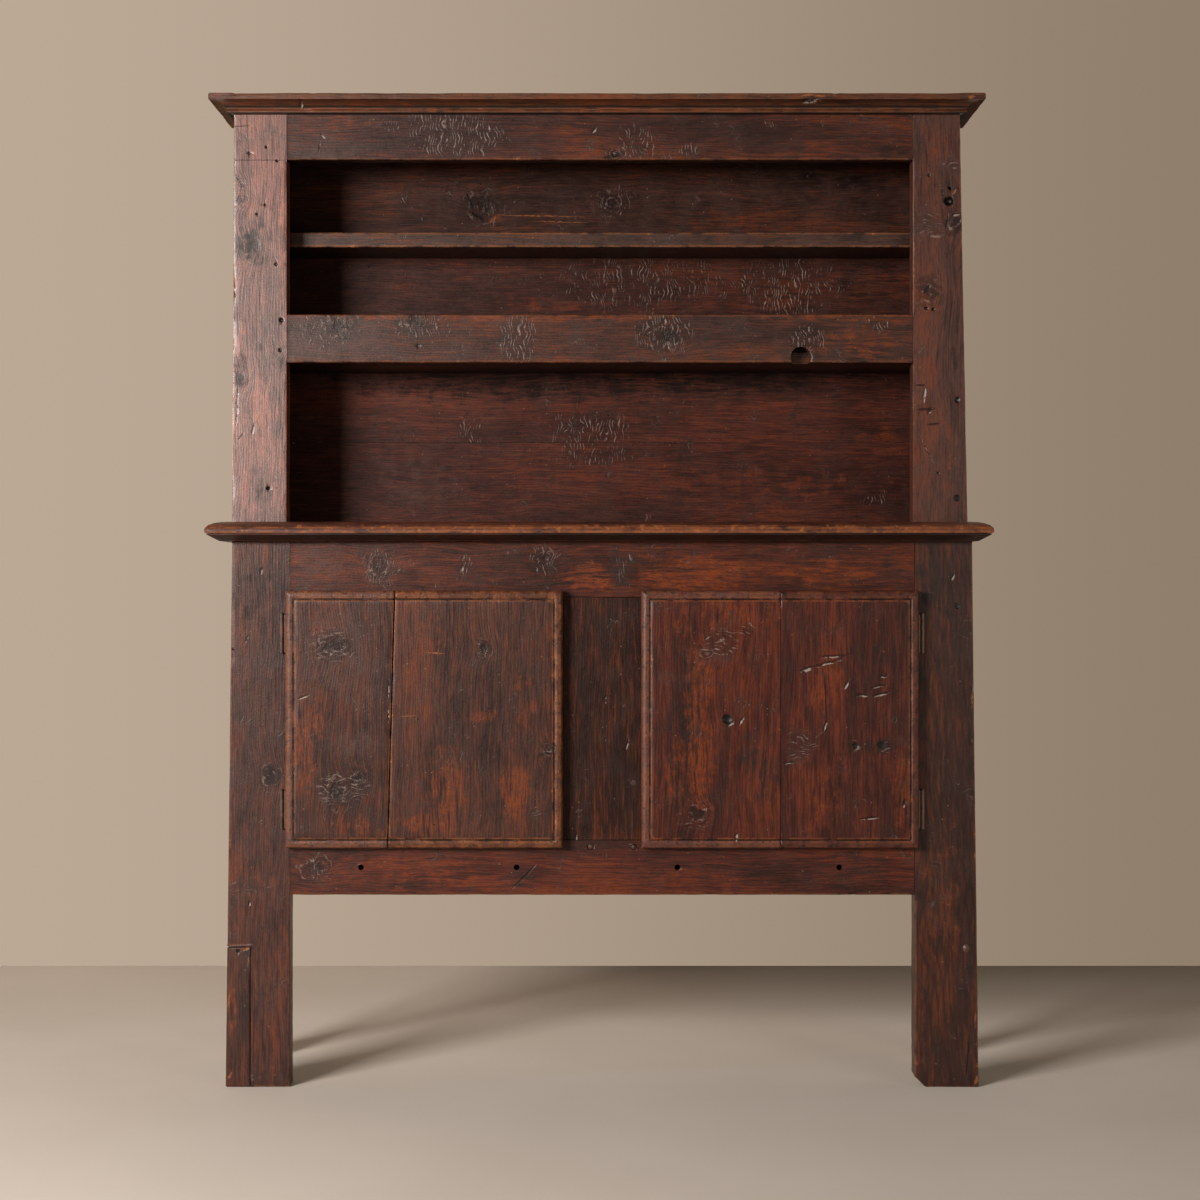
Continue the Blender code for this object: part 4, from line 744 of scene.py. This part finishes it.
def tint_door_rim(wood):
    """The moulded rim of a door: rubbed to a lighter brown, with a dark line of painted shade along the
    quirk at its inner side.
    """
    tree, rim = wood.tree, wood.board["rim"]
    inner = DOOR_MOULDING + 0.0004
    reach = moulding_reach(tree, wood.place, wood.name)
    gold = shade(rim, BARE_WOOD, wood.board["gold"])
    tint = blend(tree, rim, gold, (wood.on_edge, 0.44, 0.58, 0.0, 0.8))
    tint = blend(tree, tint, GRIME_AND_SHADE, (wood.mottle, 0.5, 0.64, 0.0, 0.7))
    wood.lay(tint, (reach, inner, DOOR_MOULDING - 0.0004), (wood.mottle, 0.38, 0.6, 0.3, 0.95))
    away = away_from(tree, reach, inner)
    # Painted shade along the quirk, also carved into the relief
    quirk = mask(tree, (away, 0.0018, 0.0006), (wood.cloud, 0.42, 0.5, 0.25, 0.95))
    wood.lay(SEAM_DIRT_AND_SHADE, quirk)
    wood.carve(-0.8, quirk)


def paint_cornice_shade(wood):
    """Painted shade: dark lines under the cornice's cove and bead, at their depths below the top."""
    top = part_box(wood.name)[1].z
    level = add(wood.tree, "SeparateXYZ", [wood.place], output="Z")
    for drop in CORNICE_SHADE_DEPTHS:
        away = away_from(wood.tree, level, top - drop)
        wood.lay(SEAM_DIRT_AND_SHADE, (away, 0.0026, 0.0010, 0.0, 0.9))


def darken_seams(wood):
    """Dirt in the seams of the base's back boards, which shrank a little apart."""
    low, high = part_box(wood.name)
    half = (high.z - low.z) / 2
    level = add(wood.tree, "SeparateXYZ", [wood.place], output="Z")
    reach = away_from(wood.tree, level, (low.z + high.z) / 2)
    seam = mask(wood.tree, (reach, half - 0.0022, half - 0.0008))
    wood.lay(SEAM_DIRT_AND_SHADE, seam)
    wood.carve(-1.5, seam)


def draw_knots(wood, frayed):
    """Knots run through the board: dark brown hearts, ringed by curled ridges of hard grain, raised in the
    relief and lit by painted highlights."""
    tree = wood.tree
    reach = nearest_mark(tree, frayed, wood.board["knots"], wood.board["front"], 1.0)
    reach = weighted(tree, reach, (wood.border, 2.6))
    wave = weighted(tree, 0.0, (reach, 7.0), (wood.sway, 24.0))
    wave = add(tree, "Math", [wave], operation="SINE")
    core = mask(tree, (reach, 0.8, 0.3))
    halo = mask(tree, (reach, 2.1, 0.8))
    wood.lay(GRIME_AND_SHADE, halo, (wave, 0.3, -0.9, 0.15, 0.6))
    wood.lay(GRIME_AND_SHADE, core, 0.6)
    curl = mask(tree, (wave, 0.5, 1.0), halo, wood.lift)
    # Painted highlight on the curls
    wood.lay(TORN_GRAIN_AND_GLINT, curl, 0.5)
    wood.carve(1.2, curl)
    wood.carve(-0.5, core)


def draw_scores(wood, frayed):
    """Dents and scores: a hollow of painted shade, shifted up and to the left, with a painted highlight on
    the lip under it, as if lit from the upper left; both also in the relief.
    """
    tree, scores = wood.tree, wood.board["scores"]
    front, depth = wood.board["front"], wood.board["depth"]
    above = [(x - 0.7, y - 1.3, length, width + 0.2, turn) for x, y, length, width, turn in scores]
    hollow = mask(tree, (nearest_mark(tree, frayed, above, front, depth), 1.4, 0.7))
    reach = nearest_mark(tree, frayed, scores, front, depth)
    lip = mask(tree, (reach, 1.2, 0.7), (wood.broken, 0.42, 0.5))
    # Painted shade in the hollow and a painted highlight on the lip
    wood.lay(GRIME_AND_SHADE, hollow, 0.75)
    wood.lay(SCORE_LIP_HIGHLIGHT, lip, 0.85)
    wood.carve(-1.0, hollow)
    wood.carve(0.6, lip)


def draw_marks(wood):
    """The knots, scores, chips, cracks and holes that stand at their own places."""
    tree, board = wood.tree, wood.board
    inputs = {"Vector": wood.place, "Scale": FRAY_SCALE, "Detail": 3.0}
    ragged = add(tree, "TexNoise", inputs, output="Color")
    ragged = add(tree, "VectorMath", (ragged, (0.5, 0.5, 0.5)), operation="SUBTRACT")
    inputs = (ragged, (FRAY, FRAY, FRAY), wood.place)
    frayed = add(tree, "VectorMath", inputs, operation="MULTIPLY_ADD")
    if board["knots"]:
        draw_knots(wood, frayed)
    if board["scores"]:
        draw_scores(wood, frayed)
    if board["chips"]:
        reach = nearest_mark(tree, frayed, board["chips"], board["front"], board["depth"])
        chip = mask(tree, (reach, 1.25, 0.6), (wood.mottle, 0.4, 0.52))
        wood.lay(shade(wood.stain, BARE_WOOD, 0.7), chip, 0.8)
        wood.carve(-0.6, chip)
    if board["cracks"]:
        reach = nearest_mark(tree, wood.place, board["cracks"], board["front"], board["depth"])
        crack = mask(tree, (reach, 1.25, 0.6))
        wood.lay(OPEN_CRACK, crack, 0.8)
        wood.carve(-1.4, crack)
    if board["pits"]:
        holes = [(x, y, radius, radius) for x, y, radius, _ in board["pits"]]
        reach = nearest_mark(tree, frayed, holes, board["front"], board["depth"])
        wood.lay(OPEN_CRACK, (reach, 1.15, 0.85))


def stained_pine(name, seed, board):
    """Pine, hand planed, stained dark and waxed, then worn: red-brown streaks along the grain under a grey
    bloom of old wax that is partly a painted sheen, black grime in the hollows, torn grain with painted
    glints, orange wood where rubbed, and painted shade on undersides, in dents and in the quirks of the
    mouldings."""
    material, tree, output = new_material("stained_pine_" + name)
    wood = Wood(tree, name, seed, board)
    read_patterns(wood)
    read_marks(wood)
    stain_board(wood)
    bare_backs_and_underside_shade(wood)
    tear_grain(wood)
    scratch_and_chip(wood)
    rub_edges(wood)
    if "rim" in board:
        tint_door_rim(wood)
    if name.startswith("cornice"):
        paint_cornice_shade(wood)
    if name.startswith("base_back_board"):
        darken_seams(wood)
    draw_marks(wood)

    inputs = {"Height": wood.height, "Strength": board["relief"], "Distance": RELIEF_DEPTH}
    bump = add(tree, "Bump", inputs)
    parts = [(wood.mottle, 0.16), (wood.grime, 0.25), (wood.fibres, 0.1)]
    if board["bare_back"]:
        parts.append((wood.rear, 0.25))
    shader = add(
        tree, "BsdfPrincipled",
        {"Base Color": wood.colour, "Roughness": weighted(tree, board["gloss"] - 0.13, *parts),
         "Normal": bump, "IOR": 1.5, "Specular IOR Level": board["wax"]},
    )
    tree.links.new(shader, output.inputs["Surface"])
    return material


def forged_iron(name, dark, middle, rusty):
    """Wrought iron, hammered at the forge and browned by wax and rust: dull brown, with orange
    rust in the hollows and a sheen on the rubbed high places."""
    material, tree, output = new_material(name)
    place = add(tree, "TexCoord", output="Object")
    hammer = add(tree, "TexNoise", {"Vector": place, "Scale": 160.0, "Detail": 4.0})
    rust = add(tree, "TexNoise", {"Vector": place, "Scale": 60.0, "Detail": 6.0})
    colour = add(tree, "ValToRGB", [rust])
    set_stops(colour, (0.35, 0.55, 0.75), (dark, middle, rusty))
    bump = add(tree, "Bump", {"Height": hammer, "Strength": 0.6, "Distance": 0.0008})
    shader = add(
        tree, "BsdfPrincipled",
        {"Base Color": colour, "Metallic": mask(tree, (rust, 0.7, 0.4, 0.1, 0.5)),
         "Roughness": weighted(tree, 0.3, (rust, 0.4)), "Normal": bump},
    )
    tree.links.new(shader, output.inputs["Surface"])
    return material


def merged_copy(name):
    """A copy of a CAD node's mesh, its doubles merged and its flat faces joined."""
    mesh = bmesh.new()
    mesh.from_mesh(frame["nodes"][name].data)
    bmesh.ops.remove_doubles(mesh, verts=mesh.verts[:], dist=MERGE)
    bmesh.ops.dissolve_limit(mesh, angle_limit=FLAT_ANGLE, verts=mesh.verts[:], edges=mesh.edges[:])
    return mesh


def meets(name, other):
    """Whether two wooden pieces are joined, so that their corners stayed sharp where they touch. The left
    door's boards have drawn apart, and a door isn't joined to the rest."""
    if "_door_" in name + other:
        return name != other and all(piece.startswith("right_door_") for piece in (name, other))
    return name != other


def in_joint(points, neighbours):
    """Which points lie in or against the box of a neighbour."""
    found = np.zeros(len(points), bool)
    for low, high in neighbours:
        found |= ((points > np.array(low) - JOINT) & (points < np.array(high) + JOINT)).all(axis=1)
    return found


def arrises(name, mesh, neighbours):
    """The long outer corners of a piece, apart from those that lie all along a joint."""
    found = []
    if name.startswith("rack_back_board"):
        return found
    for edge in mesh.edges:
        if len(edge.link_faces) == 2 and edge.is_convex and edge.calc_length() > LONG_EDGE:
            start, end = (np.array(vertex.co) for vertex in edge.verts)
            along = np.array([start + (end - start) * share for share in (0.15, 0.35, 0.5, 0.65, 0.85)])
            if edge.calc_face_angle() > SHARP_ANGLE and not in_joint(along, neighbours).all():
                found.append(edge)
    return found


def cut_at(mesh, axis, place):
    """Cuts the faces of a piece where a plane crosses them."""
    point = [0, 0, 0]
    normal = [0, 0, 0]
    point[axis] = place
    normal[axis] = 1
    everything = mesh.verts[:] + mesh.edges[:] + mesh.faces[:]
    bmesh.ops.bisect_plane(mesh, geom=everything, plane_co=point, plane_no=normal, dist=0.0002)


def distance_to_lines(points, lines):
    """The distance of each point to the nearest of some straight lines."""
    nearest = np.full(len(points), EDGE_REACH)
    for start, end in lines:
        along = end - start
        share = np.clip((points - start) @ along / (along @ along), 0, 1)
        gap = np.linalg.norm(points - start - share[:, None] * along, axis=1)
        nearest = np.minimum(nearest, gap)
    return nearest


def cut_grid(name, mesh, board):
    """Cuts a piece into small faces, with narrow ones beside its arrises and at its pits."""
    low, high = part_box(name)
    pitch = PLAIN_PITCH if name.startswith(PLAIN) or "batten" in name else FINE_PITCH
    for axis in range(3):
        size = high[axis] - low[axis]
        steps = max(1, round(size / pitch))
        for step in range(1, steps):
            cut_at(mesh, axis, low[axis] + size * step / steps)
        if size > 4 * GUARD:
            cut_at(mesh, axis, low[axis] + GUARD)
            cut_at(mesh, axis, high[axis] - GUARD)
    for x, y, radius, _ in board["pits"]:
        at_x, at_z, pixel = seen_at(x, y, board["front"])
        for share in (-1.0, -0.7, 0.0, 0.7, 1.0):
            cut_at(mesh, 0, at_x + share * radius * pixel)
            cut_at(mesh, 2, at_z + share * radius * pixel)


def patch_strength(points, board, kind):
    """How strongly the patches of one kind act at each point."""
    strength = np.zeros(len(points))
    for at_x, at_y, half_width, half_height, most in board[kind]:
        x, z, pixel = seen_at(at_x, at_y, board["front"])
        across = (points[:, 0] - x) / (half_width * pixel)
        up = (points[:, 2] - z) / (half_height * pixel)
        behind = (points[:, 1] - board["front"]) / board["depth"]
        reach = np.sqrt(across ** 2 + up ** 2 + behind ** 2)
        strength = np.maximum(strength, most * np.clip((1.4 - reach) / 0.8, 0, 1))
    return strength


def knot_swing(points, board):
    """How far the grain swings aside round the knots."""
    swing = np.zeros(len(points))
    for knot in board["knots"]:
        x, z, pixel = seen_at(knot[0], knot[1], board["front"])
        reach = ((points[:, 0] - x) ** 2 + (points[:, 2] - z) ** 2) / (2.2 * knot[2] * pixel) ** 2
        swing += SWING * np.exp(-reach)
    return swing


def rub_down(mesh, seed, edge):
    """Wears the arrises unevenly and gives the faces the slight waves of a hand plane."""
    shift = Vector((seed * 3.1, seed * 1.7, seed * 2.3))
    for vertex, gap in zip(mesh.verts, edge):
        wave = noise.noise(vertex.co * 9 + shift) * WAVE_HEIGHT - WAVE_HEIGHT
        rub = max(0.0, noise.noise(vertex.co * 22 + shift) + 0.2) * RUB_DEPTH
        nick = max(0.0, noise.noise(vertex.co * 60 + shift) - 0.42) * NICK_DEPTH
        near = max(0.0, 1 - gap / RUB_REACH)
        vertex.co += vertex.normal * (wave - (rub + nick) * near)


def close_joints(mesh, neighbours, front):
    """Draws the chamfers of a board's front out to its face where it meets a neighbour, so that the
    joint is a thin line, as scraped and waxed joints are."""
    held = in_joint(np.array([v.co for v in mesh.verts]), neighbours)
    for vertex, joined in zip(mesh.verts, held):
        if joined and 0 < vertex.co.y - front < CHAMFER:
            vertex.co.y = front


def sink_pits(mesh, board):
    """Sinks the holes and dents of the front face."""
    for x, y, radius, depth in board["pits"]:
        at_x, at_z, pixel = seen_at(x, y, board["front"])
        for vertex in mesh.verts:
            if abs(vertex.co.y - board["front"]) < PIT_SKIN:
                reach = ((vertex.co.x - at_x) ** 2 + (vertex.co.z - at_z) ** 2) / (radius * pixel) ** 2
                if reach < 0.95:
                    vertex.co.y += depth / 1000 * (1 - reach ** 2)


def worn_board(name, seed, board, boxes):
    """A worn copy of a wooden node: soft, uneven arrises and a slightly wavy, hand-planed face."""
    mesh = merged_copy(name)
    neighbours = [box for other, box in boxes.items() if meets(name, other)]
    outer = arrises(name, mesh, neighbours)
    lines = [[np.array(v.co) for v in e.verts] for e in outer]
    bmesh.ops.bevel(
        mesh, geom=outer, offset=ARRIS, segments=2, profile=0.5, affect="EDGES", material=-1,
        clamp_overlap=True,
    )
    cut_grid(name, mesh, board)
    if name != "left_foot_splice":
        close_joints(mesh, neighbours, board["front"])
    mesh.normal_update()
    points = np.array([v.co for v in mesh.verts])
    edge = distance_to_lines(points, lines)
    edge[in_joint(points, neighbours)] = EDGE_REACH
    values = {kind: patch_strength(points, board, kind) for kind in KINDS}
    values["edge"] = edge
    values["swirl"] = knot_swing(points, board)
    if board["bare_back"]:
        values["rear"] = points[:, 1] > boxes[name][1].y - FLUSH
    rub_down(mesh, seed, edge)
    sink_pits(mesh, board)
    result = bpy.data.meshes.new(name + "_worn")
    mesh.to_mesh(result)
    mesh.free()
    for key, amounts in values.items():
        layer = result.attributes.new(key, "FLOAT", "POINT")
        layer.data.foreach_set("value", amounts.astype(np.float32))
    result.shade_smooth()
    result.set_sharp_from_angle(angle=SMOOTH_ANGLE)
    piece = bpy.data.objects.new(name + "_worn", result)
    bpy.context.scene.collection.objects.link(piece)
    node = frame["nodes"][name]
    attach(piece, node["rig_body"])
    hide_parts(name)
    result.materials.append(stained_pine(name, seed, board))


def build_wood():
    """Every wooden node gets its worn copy."""
    boxes = {name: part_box(name) for name in BOARDS}
    for seed, (name, changes) in enumerate(BOARDS.items(), start=1):
        worn_board(name, seed, {**DEFAULT_BOARD, **changes}, boxes)


def dress_iron():
    """The hinges and the nail keep their shapes and get their material; the right door's hinges, which
    lie in the door's shade, get a brighter copy of the iron: painted light."""
    brown = forged_iron("forged_iron", "#4b3a31", "#5a4439", "#663e29")
    # A lit copy of the same iron, painted brighter for the right door's hinges, which lie in the door's
    # shade
    bright = forged_iron("painted_light_iron", "#7d685c", "#8c7569", "#765542")
    for name, node in frame["nodes"].items():
        if "hinge" in name or "nail" in name:
            node.data.materials.clear()
            node.data.materials.append(bright if name.startswith("right") else brown)


def seen_ray(tree):
    """Whether a ray comes from the eye, directly or by a reflection or through glass."""
    path = add(tree, "LightPath").node.outputs
    seen = add(tree, "Math", (path["Is Camera Ray"], path["Is Glossy Ray"]), operation="MAXIMUM")
    return add(tree, "Math", (seen, path["Is Transmission Ray"]), operation="MAXIMUM")


def pale_floor():
    """Pale, polished concrete: matt, with a faint cloudy tone, and painted shade far out, where the key is
    near, to even out its pool of light.
    Farther out still the eye sees it turn into the backdrop, so that no dim rim of it shows."""
    material, tree, output = new_material("pale_floor")
    place = add(tree, "TexCoord", output="Object")
    cloud = add(tree, "TexNoise", {"Vector": place, "Scale": 1.6, "Detail": 5.0})
    tone = add(tree, "ValToRGB", [cloud])
    set_stops(tone, (0.3, 0.7), FLOOR_TONES)
    away = add(tree, "VectorMath", [place], output="Value", operation="LENGTH")
    # Painted shade far out, against the key's pool of light
    tone = blend(tree, tone, FLOOR_FAR_SHADE, (away, *FLOOR_SHADE_SPAN))
    concrete = add(tree, "BsdfPrincipled", {"Base Color": tone, "Roughness": 0.9})
    glow = add(tree, "Emission", {"Color": ROOM_BACKDROP, "Strength": 1.0})
    far = mask(tree, (away, *FLOOR_FADES), seen_ray(tree))
    mixed = add(tree, "MixShader", (far, concrete, glow))
    tree.links.new(mixed, output.inputs["Surface"])
    return material


def plain_wall():
    """A pale, plain plaster wall. Seen directly it glows with painted light, lighter on the left and darker
    on the right as if lit from the left, and shows no shadow; the eye sees through it from behind, so that
    it never hides the hutch."""
    material, tree, output = new_material("plain_wall")
    place = add(tree, "TexCoord", output="Object")
    across = add(tree, "SeparateXYZ", [place], output="X")
    # Painted light: lighter on the left, darker on the right, as if lit from the left
    tone = blend(tree, *WALL_PAINTED_LIGHT, (across, *WALL_LIGHT_SPAN))
    glow = add(tree, "Emission", {"Color": tone, "Strength": 1.0})
    plaster = add(tree, "BsdfPrincipled", {"Base Color": tone, "Roughness": 0.9})
    mixed = add(tree, "MixShader", (seen_ray(tree), plaster, glow))
    backfacing = add(tree, "NewGeometry", output="Backfacing")
    behind = mask(tree, backfacing, add(tree, "LightPath", output="Is Camera Ray"))
    mixed = add(tree, "MixShader", (behind, mixed, add(tree, "BsdfTransparent")))
    tree.links.new(mixed, output.inputs["Surface"])
    return material


def build_stage():
    """A pale floor and a pale wall behind the hutch."""
    mesh = bmesh.new()
    bmesh.ops.create_grid(mesh, x_segments=1, y_segments=1, size=STAGE_SIZE)
    for name, turn, place, material in (
        ("floor", 0.0, (0, 0, 0), pale_floor()),
        ("wall", radians(90), (0, WALL_Y, STAGE_SIZE), plain_wall()),
    ):
        data = bpy.data.meshes.new(name)
        mesh.to_mesh(data)
        sheet = bpy.data.objects.new(name, data)
        sheet.rotation_euler = (turn, 0, 0)
        sheet.location = place
        bpy.context.scene.collection.objects.link(sheet)
        data.materials.append(material)
    mesh.free()


def softbox(name, place, aim, width, height, power, colour):
    """A soft rectangular lamp that faces a point."""
    lamp = bpy.data.lights.new(name, "AREA")
    lamp.shape = "RECTANGLE"
    lamp.size = width
    lamp.size_y = height
    lamp.energy = power
    lamp.color = linear(colour)[:3]
    holder = bpy.data.objects.new(name, lamp)
    holder.location = place
    holder.rotation_euler = (Vector(aim) - Vector(place)).to_track_quat("-Z", "Y").to_euler()
    bpy.context.scene.collection.objects.link(holder)


def light_scene():
    """Soft light: a key from the front left, weak lamps on the other sides, and a dim room."""
    for name, lamp in LAMPS.items():
        softbox(name, **lamp)
    world = bpy.data.worlds.new("room")
    world.use_nodes = True
    tree = world.node_tree
    tree.nodes.clear()
    colour = blend(tree, ROOM_LIGHT, ROOM_BACKDROP, seen_ray(tree))
    background = add(tree, "Background", {"Color": colour, "Strength": 1.0})
    output = tree.nodes.new("ShaderNodeOutputWorld")
    tree.links.new(background, output.inputs["Surface"])
    bpy.context.scene.world = world
    bpy.context.scene.view_settings.view_transform = "Standard"


def set_camera():
    """The camera stands level, straight in front, at the height of the cupboard's head."""
    data = bpy.data.cameras.new("camera")
    data.lens_unit = "FOV"
    data.angle = 2 * atan(VIEW_WIDTH / 2 / (BASE_FRONT_Y - CAMERA_Y))
    data.shift_y = VIEW_SHIFT_Y
    camera = bpy.data.objects.new("camera", data)
    camera.location = (CAMERA_X, CAMERA_Y, EYE_HEIGHT)
    camera.rotation_euler = (radians(90), 0, 0)
    bpy.context.scene.collection.objects.link(camera)
    bpy.context.scene.camera = camera


build_wood()
dress_iron()
build_stage()
light_scene()
set_camera()
